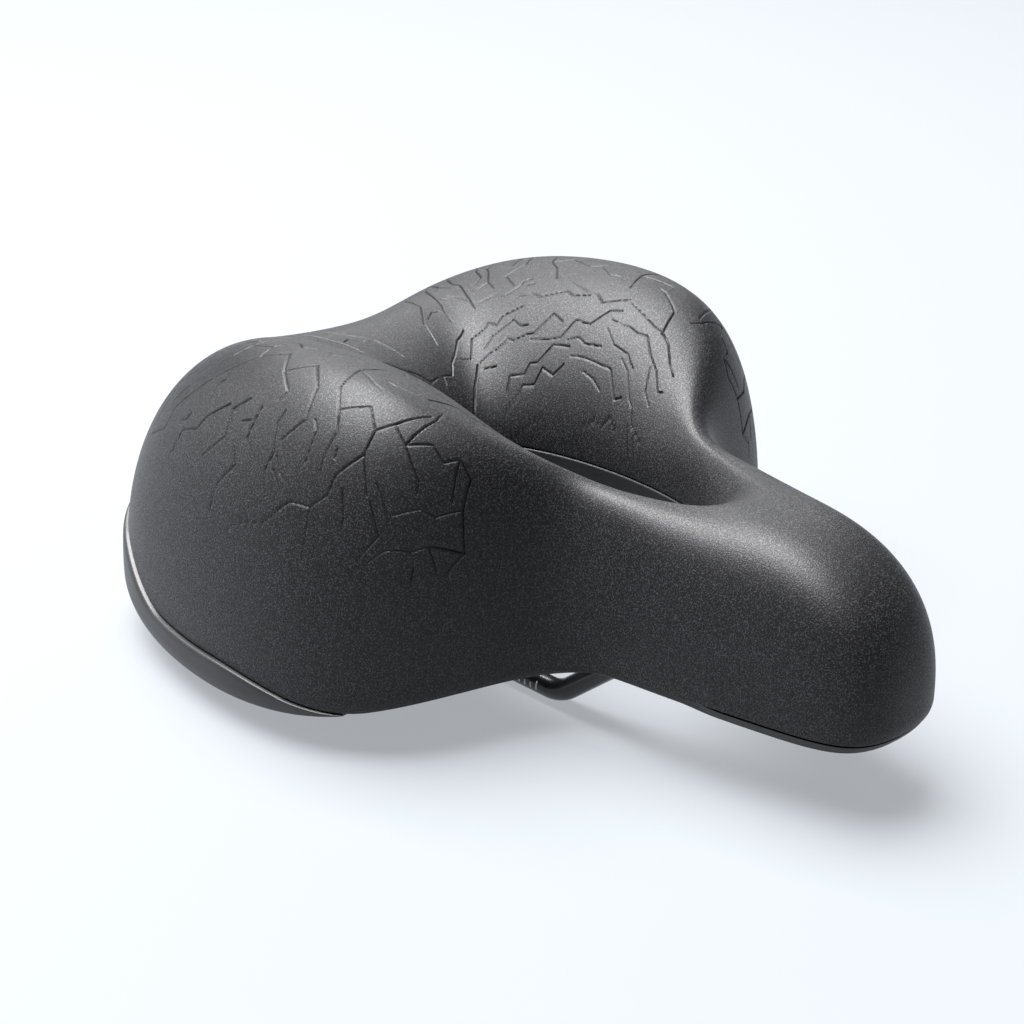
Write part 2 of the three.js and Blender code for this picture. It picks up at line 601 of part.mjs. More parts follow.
// Socket-head screw pointing up: head from its bottom height, then the shank to its top.
function screwUp(x, y, headBottom, headR, headH, shankR, top) {
  const body = turned(
    [[0, headBottom], [headR - HEAD_CHAMFER, headBottom], [headR, headBottom + HEAD_CHAMFER],
      [headR, headBottom + headH], [shankR, headBottom + headH], [shankR, top], [0, top]], x, y, 12);
  const socket = post(headR * SOCKET_SHARE, x, y, headBottom - PAST, headBottom + SOCKET_DEPTH, 6);
  return geometryOf(solid(body).subtract(solid(socket)));
}

const WASHER_TOP = YOKE_BOTTOM - FIT;
const BOLT_HEAD_TOP = WASHER_TOP - WASHER_H - FIT;
const BOLT_TOP = BOSS_Z + NUT_H;
const suspensionBolt = (x) => screwUp(
  x, YOKE_Y, BOLT_HEAD_TOP - BOLT_HEAD_H, BOLT_HEAD_R, BOLT_HEAD_H, BOLT_R, BOLT_TOP);
const boltWasher = (x) => turned(
  ringProfile(BOLT_R + FIT, WASHER_R, WASHER_TOP - WASHER_H, WASHER_TOP), x, YOKE_Y);
const insertNut = (x) => geometryOf(cut(
  solid(post(NUT_R, x, YOKE_Y, BOSS_Z + FIT, BOSS_Z + FIT + NUT_H, 6)),
  solid(post(BOLT_R + FIT, x, YOKE_Y, BOSS_Z - PAST, BOSS_Z + FIT + NUT_H + PAST, 18))));

const yokeScrew = (x) => screwUp(
  x, YOKE_Y, YOKE_BOTTOM - FIT - SCREW_HEAD_H, SCREW_HEAD_R, SCREW_HEAD_H, SCREW_R,
  YOKE_RAIL_Z - RAIL_R - FIT);

// ---------------------------------------------------------------- nose cap

const CAP_TOP = NOSE_BAR_Z - CAP_GAP;
const CAP_BOTTOM = CAP_TOP - CAP_HEIGHT;

function noseCap() {
  const body = solid(block(CAP_WIDTH, CAP_LENGTH, CAP_HEIGHT, 0, NOSE_BAR_Y, CAP_BOTTOM));
  const holes = Object.values(CAP_SCREWS).map((y) => solid(
    post(SCREW_R + FIT, 0, y, CAP_BOTTOM - PAST, CAP_TOP + PAST, 12)));
  return geometryOf(cut(body, noseBarHole(), ...holes));
}
const noseScrew = (y) => screwUp(
  0, y, CAP_BOTTOM - FIT - SCREW_HEAD_H, SCREW_HEAD_R, SCREW_HEAD_H, SCREW_R, NOSE_BAR_Z + NOSE_SCREW_BITE);

function bumperScrew(du) {
  const sp = tabSpoke(du);
  const { x, y } = fromEdge(sp, TAB_SCREW_IN);
  const headTop = tabTop(sp) - TAB_WALL - FIT;
  return screwUp(x, y, headTop - SCREW_HEAD_H, SCREW_HEAD_R, SCREW_HEAD_H, SCREW_R, flangeTop(sp) - FIT);
}

// ---------------------------------------------------------------- materials and assembly

const MATERIALS = {
  coverSkin: { color: 0x2b2b2e, roughness: 0.72, metalness: 0 },
  foam: { color: 0x3a3a3c, roughness: 0.95, metalness: 0 },
  shellPlastic: { color: 0x1a1a1c, roughness: 0.5, metalness: 0 },
  bumperPlastic: { color: 0x1d1d20, roughness: 0.42, metalness: 0 },
  railSteel: { color: 0x161617, roughness: 0.38, metalness: 0.6 },
  yokePlastic: { color: 0x202022, roughness: 0.55, metalness: 0 },
  rubber: { color: 0x242426, roughness: 0.85, metalness: 0 },
  zincSteel: { color: 0x8e9093, roughness: 0.35, metalness: 1 },
};

const saddle = new THREE.Group();
function add(name, geometry, material) {
  const mesh = new THREE.Mesh(geometry, new THREE.MeshStandardMaterial(MATERIALS[material]));
  mesh.name = name;
  saddle.add(mesh);
}

add('cover', cover(), 'coverSkin');
add('foam_pad', foamPad(), 'foam');
add('base_shell', baseShell(), 'shellPlastic');
add('rear_bumper', rearBumper(), 'bumperPlastic');
add('nose_cap', noseCap(), 'shellPlastic');
for (const [side, y] of Object.entries(CAP_SCREWS)) {
  add(`nose_screw_${side}`, noseScrew(y), 'zincSteel');
}
for (const [side, du] of Object.entries({ left: TAB_STATIONS[0], middle: 0, right: TAB_STATIONS[2] })) {
  add(`bumper_screw_${side}`, bumperScrew(du), 'zincSteel');
}
add('rail_frame', railFrame(), 'railSteel');
add('rear_yoke', rearYoke(), 'yokePlastic');
for (const [side, x] of Object.entries(PUCKS)) {
  add(`elastomer_${side}`, puck(x), 'rubber');
  add(`lower_cup_${side}`, cup(x, CUP_BOTTOM), 'zincSteel');
  add(`upper_cup_${side}`, cup(x, UPPER_CUP_TOP - CUP_WALL), 'zincSteel');
  add(`suspension_bolt_${side}`, suspensionBolt(x), 'zincSteel');
  add(`bolt_washer_${side}`, boltWasher(x), 'zincSteel');
  add(`insert_nut_${side}`, insertNut(x), 'zincSteel');
  add(`yoke_screw_${side}`, yokeScrew((Math.sign(x) * RAIL_GAUGE) / 2), 'zincSteel');
}

// The origin is the middle of the bottom of the saddle's box.
const box = new THREE.Box3().setFromObject(saddle, true);
const centre = box.getCenter(new THREE.Vector3());
saddle.position.set(-centre.x, -centre.y, -box.min.z);

export default saddle;
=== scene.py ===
# %% [markdown]
# # A wide comfort saddle in Blender
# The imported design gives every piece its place: which body it rides on, where its joint is and how
# large it may be. These cells add what the eye judges: smooth moulded shapes, an engraved skin and
# a finish for each material. New pieces are surfaces worked out with numpy in millimetres, in the
# frame of the design, and one helper turns them into metres.

import json
import math

import bpy
import numpy as np
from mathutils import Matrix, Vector
from mathutils.bvhtree import BVHTree


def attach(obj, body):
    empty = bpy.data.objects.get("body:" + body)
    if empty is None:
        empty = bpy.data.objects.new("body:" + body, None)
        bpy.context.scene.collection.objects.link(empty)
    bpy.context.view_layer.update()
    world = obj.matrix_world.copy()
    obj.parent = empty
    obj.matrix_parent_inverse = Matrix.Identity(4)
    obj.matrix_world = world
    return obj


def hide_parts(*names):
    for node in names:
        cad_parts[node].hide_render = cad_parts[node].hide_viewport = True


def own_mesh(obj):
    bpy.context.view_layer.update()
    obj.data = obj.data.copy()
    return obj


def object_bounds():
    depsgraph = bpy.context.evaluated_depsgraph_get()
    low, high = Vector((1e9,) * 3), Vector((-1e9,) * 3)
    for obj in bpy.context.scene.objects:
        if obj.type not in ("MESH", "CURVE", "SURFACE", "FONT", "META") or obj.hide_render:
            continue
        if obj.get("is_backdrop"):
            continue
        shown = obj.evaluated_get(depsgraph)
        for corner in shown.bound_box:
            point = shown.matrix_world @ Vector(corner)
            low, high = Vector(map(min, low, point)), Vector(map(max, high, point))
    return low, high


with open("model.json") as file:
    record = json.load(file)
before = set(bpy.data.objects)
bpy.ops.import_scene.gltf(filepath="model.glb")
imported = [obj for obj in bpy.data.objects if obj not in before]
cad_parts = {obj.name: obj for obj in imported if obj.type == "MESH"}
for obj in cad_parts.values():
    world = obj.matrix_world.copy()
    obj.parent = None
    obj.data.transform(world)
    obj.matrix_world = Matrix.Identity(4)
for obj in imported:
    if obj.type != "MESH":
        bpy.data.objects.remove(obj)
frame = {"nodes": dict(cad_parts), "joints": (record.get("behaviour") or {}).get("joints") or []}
cad_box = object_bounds()
hinge = frame["joints"][0]

MM = 0.001
NOSE_BAR_Y = -100
SHIFT_Y = hinge["pos_m"][1] / MM - NOSE_BAR_Y    # the hinge lies on the rails' nose bar
print("frame", [round(v / MM, 1) for v in cad_box[1] - cad_box[0]], "mm, shift", round(SHIFT_Y, 3))

# %% [markdown]
# ## Faces from grids
# Every new surface is a grid of points: so many rows, each of so many columns. A grid that wraps
# both ways is a ring, and one that wraps one way is a tube whose ends need a cap. Making the face
# numbers with whole arrays keeps a skin of several hundred thousand points quick to build. Doing
# it by hand in edit mode would give the same mesh, but nobody could change a size afterwards.

# %% Grid, tube and ring helpers
def grid_faces(rows, columns, wrap_rows):
    """Corner numbers of a grid's four-sided faces. Columns always wrap."""
    r, c = np.meshgrid(np.arange(rows if wrap_rows else rows - 1), np.arange(columns), indexing="ij")
    below, beside = (r + 1) % rows, (c + 1) % columns
    corners = [r * columns + c, below * columns + c, below * columns + beside, r * columns + beside]
    return np.stack(corners, -1).reshape(-1, 4)


def ring(grid):
    """A closed solid from a grid of points that wraps both ways."""
    rows, columns = grid.shape[:2]
    return grid.reshape(-1, 3), [grid_faces(rows, columns, True)]


def tube(grid):
    """A closed solid from a grid whose columns wrap, with a flat cap on its first and last row."""
    rows, columns = grid.shape[:2]
    first = np.arange(columns)[None, :]
    last = first[:, ::-1] + (rows - 1) * columns
    return grid.reshape(-1, 3), [grid_faces(rows, columns, False), first, last]


def facing_out(points, faces):
    """Turns the faces round where the solid's signed volume, the sum of its cones, is negative."""
    volume = 0.0
    for group in faces:
        a = points[group[:, 0]]
        for k in range(1, group.shape[1] - 1):
            volume += np.einsum("ij,ij->", a, np.cross(points[group[:, k]], points[group[:, k + 1]]))
    return faces if volume > 0 else [group[:, ::-1] for group in faces]


# %% From points in millimetres to a piece that rides on a body
SHARP = math.radians(48)


def piece(name, solids, body, material, stands_for=(), attributes=None):
    """One mesh object at the origin from (points, faces) solids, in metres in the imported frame."""
    points, totals, corners, count = [], [], [], 0
    for solid_points, faces in solids:
        for group in facing_out(solid_points, faces):
            totals.append(np.full(len(group), group.shape[1]))
            corners.append((group + count).ravel())
        points.append(solid_points)
        count += len(solid_points)
    points, totals, corners = np.concatenate(points), np.concatenate(totals), np.concatenate(corners)
    mesh = bpy.data.meshes.new(name)
    mesh.vertices.add(len(points))
    mesh.vertices.foreach_set("co", ((points + [0, SHIFT_Y, 0]) * MM).astype(np.float32).ravel())
    mesh.loops.add(len(corners))
    mesh.loops.foreach_set("vertex_index", corners.astype(np.int32))
    mesh.polygons.add(len(totals))
    mesh.polygons.foreach_set("loop_start", (np.cumsum(totals) - totals).astype(np.int32))
    mesh.polygons.foreach_set("loop_total", totals.astype(np.int32))
    mesh.update(calc_edges=True)
    mesh.polygons.foreach_set("use_smooth", np.ones(len(totals), bool))
    mesh.set_sharp_from_angle(angle=SHARP)
    for key, values in (attributes or {}).items():
        mesh.attributes.new(key, "FLOAT", "POINT").data.foreach_set("value", values.astype(np.float32))
    mesh.materials.append(material)
    made = bpy.data.objects.new(name, mesh)
    bpy.context.scene.collection.objects.link(made)
    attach(made, body)
    if stands_for:
        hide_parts(*stands_for)
    size = (points.max(0) - points.min(0)).round(1)
    print(f"{name}: {len(points)} points, {size[0]} x {size[1]} x {size[2]} mm")
    return made


# %% [markdown]
# ## Materials
# Each finish starts from what the piece is made of and how it was shaped: a soft-touch polyurethane
# skin takes its fine grain from the mould, polypropylene comes out satin, and coated steel is
# smoother than either. Patterns are sized in millimetres on Object coordinates, so that they don't
# slide when a body moves. Painting maps would give the same looks but would fix one size of image.

# %% Colour and node helpers
def linear(hex_code):
    """sRGB hex such as "2b2b2e" to the linear colour that a shader wants."""
    parts = [int(hex_code[i:i + 2], 16) / 255 for i in (0, 2, 4)]
    return tuple(p / 12.92 if p <= 0.04045 else ((p + 0.055) / 1.055) ** 2.4 for p in parts) + (1.0,)


def add(tree, kind, settings=(), values=(), links=()):
    """One shader node: settings on the node, values on its sockets, links into its sockets."""
    made = tree.nodes.new("ShaderNode" + kind)
    for key, value in dict(settings).items():
        setattr(made, key, value)
    for key, value in dict(values).items():
        made.inputs[key].default_value = value
    for key, source in dict(links).items():
        tree.links.new(source, made.inputs[key])
    return made


def start_material(name, **values):
    """A material with one Principled shader. Returns the material, its tree and the shader."""
    made = bpy.data.materials.new(name)
    made.use_nodes = True
    tree = made.node_tree
    shader = tree.nodes["Principled BSDF"]
    for key, value in values.items():
        shader.inputs[key.replace("_", " ")].default_value = value
    return made, tree, shader


def wire(tree, shader, **sources):
    """Links a source into each of the shader's inputs that is named."""
    for key, source in sources.items():
        tree.links.new(source, shader.inputs[key.replace("_", " ")])


def spots(tree, size_mm, detail=2.0, kind="TexNoise", output="Fac"):
    """A noise whose spots are size_mm across, on Object coordinates in metres."""
    place = add(tree, "TexCoord")
    scale = 1 / (size_mm * MM)
    values = {"Scale": scale, "Detail": detail} if kind == "TexNoise" else {"Scale": scale}
    return add(tree, kind, values=values, links={"Vector": place.outputs["Object"]}).outputs[output]


def ramp(tree, source, stops):
    """A colour ramp from (place, colour) stops."""
    made = add(tree, "ValToRGB", links={"Fac": source})
    band = made.color_ramp.elements
    while len(band) < len(stops):
        band.new(0.5)
    for element, (place, colour) in zip(band, stops):
        element.position, element.color = place, colour
    return made.outputs["Color"]


def grey(value):
    return (value, value, value, 1.0)


def remap(tree, source, low, high, to_low, to_high):
    links = {"Value": source}
    values = {"From Min": low, "From Max": high, "To Min": to_low, "To Max": to_high}
    return add(tree, "MapRange", values=values, links=links).outputs["Result"]


def bump(tree, height, strength, depth_mm, under=None):
    links = {"Height": height} | ({"Normal": under} if under else {})
    values = {"Strength": strength, "Distance": depth_mm * MM}
    return add(tree, "Bump", values=values, links=links).outputs["Normal"]


# %% Soft-touch polyurethane skin
def soft_touch_skin():
    """Moulded polyurethane with a soft-touch coat: near black, matte, with a fine spark-eroded
    grain that scatters light in small bright and dark specks. The engraved lines are painted a
    little darker: painted shade in the grooves."""
    made, tree, shader = start_material(
        "soft_touch_polyurethane", Roughness=0.46, IOR=1.34, Sheen_Weight=0.03, Sheen_Roughness=0.4)
    shader.inputs["Sheen Tint"].default_value = linear("d9dae2")
    # Bare polyurethane has an IOR near 1.5; the matte coat reflects less, so it is set lower.
    # The real grain is about 0.15 mm; it is drawn at 0.45 mm so that it still shows.
    grain = spots(tree, 0.45, 3.0)
    cloud = spots(tree, 14.0, 2.0)
    base = ramp(tree, grain, [(0.4, linear("040405")), (0.52, linear("101012")),
                              (0.64, linear("323236"))])
    tinted = add(tree, "Mix", {"data_type": "RGBA", "blend_type": "MULTIPLY"}, {0: 1.0}, {
        6: base, 7: ramp(tree, cloud, [(0.3, grey(0.88)), (0.7, grey(1.0))])}).outputs[2]
    # Painted shade: where the groove attribute is strong, the colour is mixed towards near black.
    groove = add(tree, "Attribute", {"attribute_name": "groove"}).outputs["Fac"]
    painted_groove_shade = add(tree, "Mix", {"data_type": "RGBA"}, {7: linear("040405")},
                {0: remap(tree, groove, 0.2, 0.6, 0.0, 1.0), 6: tinted}).outputs[2]
    wire(tree, shader, Base_Color=painted_groove_shade, Roughness=remap(tree, grain, 0.3, 0.7, 0.56, 0.38),
         Normal=bump(tree, grain, 0.9, 0.12))
    return made


# %% Moulded plastics, foam and rubber
def moulded_plastic(name, dark, light, rough, grain_mm, depth_mm, flow_mm=18.0):
    """An injection-moulded plastic: its colour drifts slightly along the flow, and its texture is
    the mould's. A satin mould has a fine grain, and a polished one hardly any."""
    made, tree, shader = start_material(name, Roughness=rough, IOR=1.49)
    flow = spots(tree, flow_mm, 3.0)
    grain = spots(tree, grain_mm, 2.0)
    wire(tree, shader, Base_Color=ramp(tree, flow, [(0.35, linear(dark)), (0.65, linear(light))]),
         Roughness=remap(tree, grain, 0.3, 0.7, rough - 0.05, rough + 0.08),
         Normal=bump(tree, grain, 0.5, depth_mm))
    return made


def open_foam():
    """Moulded polyurethane foam: a matte grey with open cells about 1 mm across."""
    made, tree, shader = start_material("open_cell_polyurethane_foam", Roughness=0.95, IOR=1.4)
    cells = spots(tree, 1.0, kind="TexVoronoi", output="Distance")
    wire(tree, shader, Base_Color=ramp(tree, cells, [(0.0, linear("202022")), (0.6, linear("47474a"))]),
         Normal=bump(tree, cells, 0.7, 0.3))
    return made


# %% Metals
def zinc_plated_steel():
    """Bright zinc on turned or pressed steel: a pale blue-grey metal with a cloudy plating and a
    fine roughness a few tenths of a millimetre across."""
    made, tree, shader = start_material("zinc_plated_steel", Metallic=1.0, Roughness=0.3)
    cloud = spots(tree, 2.2, 3.0)
    fine = spots(tree, 0.35, 1.0)
    wire(tree, shader, Base_Color=ramp(tree, cloud, [(0.3, linear("9aa0a6")), (0.7, linear("c3c7ca"))]),
         Roughness=remap(tree, cloud, 0.3, 0.7, 0.24, 0.4), Normal=bump(tree, fine, 0.25, 0.03))
    return made


def coated_rail_steel(marks):
    """Steel rod under a satin black e-coat, with a pale printed scale for setting the saddle
    fore and aft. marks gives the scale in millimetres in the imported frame."""
    made, tree, shader = start_material("e_coated_rail_steel", Roughness=0.3, IOR=1.5, Coat_Weight=0.35)
    place = add(tree, "TexCoord").outputs["Object"]
    axes = add(tree, "SeparateXYZ", links={"Vector": place}).outputs

    def math_node(operation, a, b=0.0):
        made_node = add(tree, "Math", {"operation": operation})
        for socket, value in zip(made_node.inputs, (a, b)):
            if isinstance(value, float):
                socket.default_value = value
            else:
                tree.links.new(value, socket)
        return made_node.outputs["Value"]

    def between(value, low, high):
        inside = math_node("GREATER_THAN", value, low * MM)
        return math_node("MULTIPLY", inside, math_node("LESS_THAN", value, high * MM))

    out = math_node("ABSOLUTE", axes["X"])
    along = math_node("SUBTRACT", axes["Y"], marks["first"] * MM)
    fine = math_node("FLOORED_MODULO", along, marks["pitch"] * MM)
    coarse = math_node("FLOORED_MODULO", along, 5 * marks["pitch"] * MM)
    short = math_node("MULTIPLY", between(fine, 0.0, marks["width"]),
                      between(axes["Z"], marks["low"], marks["middle"]))
    tall = math_node("MULTIPLY", between(coarse, 0.0, marks["width"]),
                     between(axes["Z"], marks["low"], marks["high"]))
    ticks = math_node("MAXIMUM", short, tall)
    side = math_node("MULTIPLY", between(out, marks["out"], 1000.0),
                     between(along, 0.0, marks["length"]))
    printed = math_node("MULTIPLY", ticks, side)
    cloud = spots(tree, 6.0, 3.0)
    coat = ramp(tree, cloud, [(0.3, linear("0b0b0c")), (0.7, linear("161618"))])
    colour = add(tree, "Mix", {"data_type": "RGBA"}, {7: linear("c9cac8")}, {0: printed, 6: coat})
    wire(tree, shader, Base_Color=colour.outputs[2], Roughness=remap(tree, cloud, 0.3, 0.7, 0.26, 0.38),
         Normal=bump(tree, spots(tree, 0.8, 2.0), 0.25, 0.03))
    return made


RAIL_R = 3.5
RAIL_GAUGE = 44
SCALE_MARKS = {"first": -14.0, "length": 60.0, "pitch": 2.5, "width": 0.6,
               "low": 2.6, "middle": 4.4, "high": 5.4, "out": RAIL_GAUGE / 2 + 1.5}

skin = soft_touch_skin()
foam = open_foam()
shell_plastic = moulded_plastic("satin_polypropylene", "0d0d0e", "141416", 0.42, 0.45, 0.05)
bumper_plastic = moulded_plastic("fine_satin_polypropylene", "0f0f10", "161618", 0.42, 0.3, 0.02)
yoke_plastic = moulded_plastic("glass_filled_nylon", "121213", "1e1e20", 0.52, 0.8, 0.08, 5.0)
rubber = moulded_plastic("moulded_elastomer", "161617", "222223", 0.78, 0.6, 0.06, 8.0)
zinc = zinc_plated_steel()
rail_steel = coated_rail_steel(SCALE_MARKS)
print("materials:", [m.name for m in bpy.data.materials])

# %% [markdown]
# ## The pad's own curves
# The pad is a ring of foam around the relief hole. Eighteen stations go round it: ten are written
# down and eight are their mirror images. Each holds one control point of the outline and the heights
# and roundness of the pad there, and a closed B-spline is drawn by them. From the hole's rim
# to the outline goes a spoke, and all skins of the saddle are drawn in the plane of the spokes.
# A subdivision cage would be quicker to draw, but pad, skin, foam and shell would then not follow
# one another to a fraction of a millimetre.

# %% Stations, in millimetres
LENGTH, WIDTH = 270, 206
HOLE_LENGTH, HOLE_WIDTH, HOLE_MIDDLE, HOLE_RIM = 102, 39, -6, 60
HOLE_ROUND = 1.8
FIT, COVER_WALL, SHELL_WALL = 0.35, 2.0, 2.8
COLUMNS = ["x", "y", "turn", "crest", "edge", "lean", "side", "belly", "tuck"]
HALF = np.array([
    [0, -152, 0, 80.5, 24.5, 0.26, 2.5, 0.14, 3],
    [22, -148, -6, 80.5, 24.5, 0.26, 2.5, 0.14, 3],
    [28, -122, -10, 78.5, 24.5, 0.26, 2.5, 0.1, 2.5],
    [36, -73, -12, 78.5, 24.5, 0.26, 2.5, 0.06, 2],
    [33, -38, -12, 80, 19.5, 0.45, 2.4, 0.06, 2],
    [88, -29, -10, 97, 20.8, 0.56, 2, 0.06, 2],
    [115, 12.5, -8, 112, 8.3, 0.52, 2, 0.06, 2],
    [103, 109, -5, 107, 8, 0.52, 2, 0.06, 2],
    [64.5, 147, -2, 92.5, 25.5, 0.5, 2, 0.06, 1.5],
    [0, 110.5, 0, 93, 25.5, 0.5, 2.2, 0.06, 1.5]])
MIRROR = np.array([-1, 1, -1, 1, 1, 1, 1, 1, 1])
RING = np.concatenate([HALF, HALF[-2:0:-1] * MIRROR])
TAIL = len(HALF) - 1


# %% The B-spline and the spokes
def spline(u):
    """Closed uniform cubic B-spline at station numbers u: four rows weighed by the cubic's shares."""
    k = np.floor(u).astype(int)
    f = (u - k)[:, None]
    shares = [(1 - f) ** 3, 3 * f ** 3 - 6 * f ** 2 + 4, -3 * f ** 3 + 3 * f ** 2 + 3 * f + 1, f ** 3]
    return sum(w * RING[(k - 1 + i) % len(RING)] for i, w in enumerate(shares)) / 6


fitted = spline(np.arange(0, len(RING), 1 / 40))
SPREAD = np.array([WIDTH / 2 / fitted[:, 0].max(), LENGTH / np.ptp(fitted[:, 1])])
CENTRE = np.array([0, (fitted[:, 1].max() + fitted[:, 1].min()) / 2])


def outline(u):
    """The pad's outline from above, stretched to its exact length and width."""
    return (spline(u)[:, :2] - CENTRE) * SPREAD


def unit(v):
    return v / np.linalg.norm(v, axis=-1, keepdims=True)


def spokes(u):
    """A spoke at each station number: a line from the hole's rim to the outline. slant and
    rim_slant are how much longer a length square to the outline or the rim is along the spoke."""
    row = dict(zip(COLUMNS, spline(u).T))
    angle = np.radians(u * 360 / len(RING) + row["turn"])
    rim = np.stack([HOLE_WIDTH / 2 * np.sin(angle), HOLE_MIDDLE - HOLE_LENGTH / 2 * np.cos(angle)], -1)
    out = outline(u) - rim
    tangent = outline(u + 0.02) - outline(u - 0.02)
    normal = unit(np.stack([tangent[:, 1], -tangent[:, 0]], -1))
    rim_normal = unit(np.stack([np.sin(angle) / HOLE_WIDTH, -np.cos(angle) / HOLE_LENGTH], -1))
    row.update(reach=np.linalg.norm(out, axis=1), slant=1 / (unit(out) * normal).sum(1),
               rim_slant=1 / (unit(out) * rim_normal).sum(1), u=u)
    row["foot"] = row["reach"] - row["tuck"]
    row = {key: value[:, None] for key, value in row.items()}
    return row | {"rim": rim, "along": unit(out)}


def placed(sp, s, z):
    """Points from distances s along each spoke and heights z: arrays of spokes by points."""
    s, z = np.broadcast_arrays(s, z)
    flat = sp["rim"][:, None, :] + sp["along"][:, None, :] * s[..., None]
    return np.concatenate([flat, z[..., None]], -1)


def lofted(sp, loop):
    """Points of a closed loop, given as (s, z) stretches that follow one another, on every spoke."""
    s, z = (np.concatenate([stretch[k] for stretch in loop], 1) for k in (0, 1))
    return placed(sp, s, z)


# %% Curves in the plane of a spoke
BELLY_T = 0.88                                # where the flank passes its widest point


def quarter(angle, power):
    """Sine and cosine shares of a quarter superellipse, at an angle from 0 to a right angle."""
    return [np.clip(wave(angle), 0, 1) ** (2 / power) for wave in (np.sin, np.cos)]


def sunk(s, z, ns, nz, depth, slant):
    """Moves a point against its normal (ns, nz) by a depth measured square to the surface."""
    shift = depth * np.hypot(ns * slant, nz) / (ns * ns + nz * nz)
    return s - shift * ns, z - shift * nz


def wall_curve(sp, t, depth=0.0):
    """Padded wall of the hole: a quarter superellipse from its rim, t = 0, to the crest, t = 1."""
    run, rise = sp["lean"] * sp["reach"], sp["crest"] - HOLE_RIM
    up, back = quarter(t * np.pi / 2, HOLE_ROUND)
    ns, nz = -back ** (HOLE_ROUND - 1) / run, up ** (HOLE_ROUND - 1) / rise
    return sunk(run * (1 - back), HOLE_RIM + rise * up, ns, nz, depth, sp["rim_slant"])


def flank_curve(sp, t, depth=0.0):
    """Flank: a quarter superellipse from the crest, t = 0, out to the belly, then a parabola that
    tucks in to the edge, t = 1."""
    power, start = sp["side"], sp["lean"] * sp["reach"]
    belly = sp["edge"] + sp["belly"] * (sp["crest"] - sp["edge"])
    out, up = quarter(np.minimum(t / BELLY_T, 1) * np.pi / 2, power)
    tuck = np.clip((t - BELLY_T) / (1 - BELLY_T), 0, None)
    upper = t <= BELLY_T
    drop = belly - sp["edge"]
    s = np.where(upper, start + (sp["reach"] - start) * out, sp["reach"] - sp["tuck"] * tuck ** 2)
    z = np.where(upper, belly + (sp["crest"] - belly) * up, belly - drop * tuck)
    ns = np.where(upper, out ** (power - 1) / (sp["reach"] - start), drop)
    nz = np.where(upper, up ** (power - 1) / (sp["crest"] - belly), -2 * sp["tuck"] * tuck)
    return sunk(s, z, ns, nz, depth, sp["slant"])


def smooth(t):
    t = np.clip(t, 0, 1)
    return t * t * (3 - 2 * t)


BUMPER_PROUD, BUMPER_RISE, BUMPER_REACH = 1.6, 11, 3 + 2 / 3
BUMPER_TAIL_RISE, BUMPER_TAIL_REACH, BUMPER_TAIL_FADE = 9, 2.3, 0.6
NOSE_BAND, NOSE_BAND_FADE, NOSE_FLANGE_OUT = 3.2, 0.8, 2.5


def bumper_share(u):
    """How far the tail bumper has risen: 1 behind the wings, fading to 0 at its two ends."""
    return smooth(BUMPER_REACH - np.abs(u - TAIL))


def from_nose(u):
    """Stations from the nose, whichever way round is shorter."""
    return np.minimum(u % len(RING), len(RING) - u % len(RING))


def cover_edge(sp):
    """Where the flank comes down to the lower edge of the skin. It wraps the shell's flange, except
    along the nose, where it ends above it, and at the tail, where it ends on the bumper."""
    band = smooth((NOSE_BAND + NOSE_BAND_FADE - from_nose(sp["u"])) / NOSE_BAND_FADE)
    behind = smooth((BUMPER_TAIL_REACH - np.abs(sp["u"] - TAIL)) / BUMPER_TAIL_FADE)
    bumper_rise = BUMPER_RISE * bumper_share(sp["u"]) + BUMPER_TAIL_RISE * behind
    return level(sp, sp["edge"] + (SHELL_WALL + FIT) * band + bumper_rise)


def level(sp, height):
    """The flank's parameter at a height, found by halving 30 times."""
    low, high = np.zeros_like(height), np.ones_like(height)
    for _ in range(30):
        middle = (low + high) / 2
        above = flank_curve(sp, middle)[1] > height
        low, high = np.where(above, middle, low), np.where(above, high, middle)
    return high


def whole_ring(half):
    """Station numbers all the way round from those of one half, 0 to TAIL."""
    return np.concatenate([half, len(RING) - half[-2:0:-1]])


# %% [markdown]
# ## The engraved crackle
# Both sitting areas carry a crackle that is cut into the mould: straight, jagged lines that start
# on one long line round each wing and run down its flank or in over its top. It is drawn here as a
# seeded random walk, so it is a pattern of its own that anyone can draw again. The lines are cut
# into the skin as real grooves, not drawn with a bump.

# %% Jagged lines on the wing, in millimetres along and out from the crest
CRACK_FIRST, CRACK_LAST = 4.72, 8.62          # stations that the pattern spans
CREST_PITCH = 47.0                            # millimetres from station to station on the crest
ALONG = (CRACK_LAST - CRACK_FIRST) * CREST_PITCH
CLEAR_OF = 1.8                                # least distance between two lines
rng = np.random.default_rng(23)


def jagged(start, heading, count, step, swing):
    """A line that turns mostly left and right in turn: heading and swing in degrees."""
    side = rng.choice([-1, 1]) * (-1) ** np.arange(count)
    turns = np.radians(heading + side * rng.uniform(-0.25 * swing, swing, count))
    steps = step * rng.uniform(0.4, 1.7, count)
    moves = np.stack([np.cos(turns), np.sin(turns)], -1) * steps[:, None]
    return np.concatenate([[start], start + np.cumsum(moves, 0)])


def distance(points, a, b):
    """Distance of each point from the segment a to b, and its place along it from 0 to 1."""
    run = b - a
    share = np.clip(((points - a) @ run) / (run @ run), 0, 1)
    return np.linalg.norm(points - a - share[..., None] * run, axis=-1), share


def kept(line, lines):
    """The line up to where it comes too near another one, leaving out its own start."""
    for i in range(len(line) - 1):
        probe = line[i] + (line[i + 1] - line[i]) * np.linspace(0.3 if i == 0 else 0.0, 1, 8)[:, None]
        for other in lines:
            for a, b in zip(other[:-1], other[1:]):
                if distance(probe, a, b)[0].min() < CLEAR_OF:
                    return line[:i + 1]
    return line


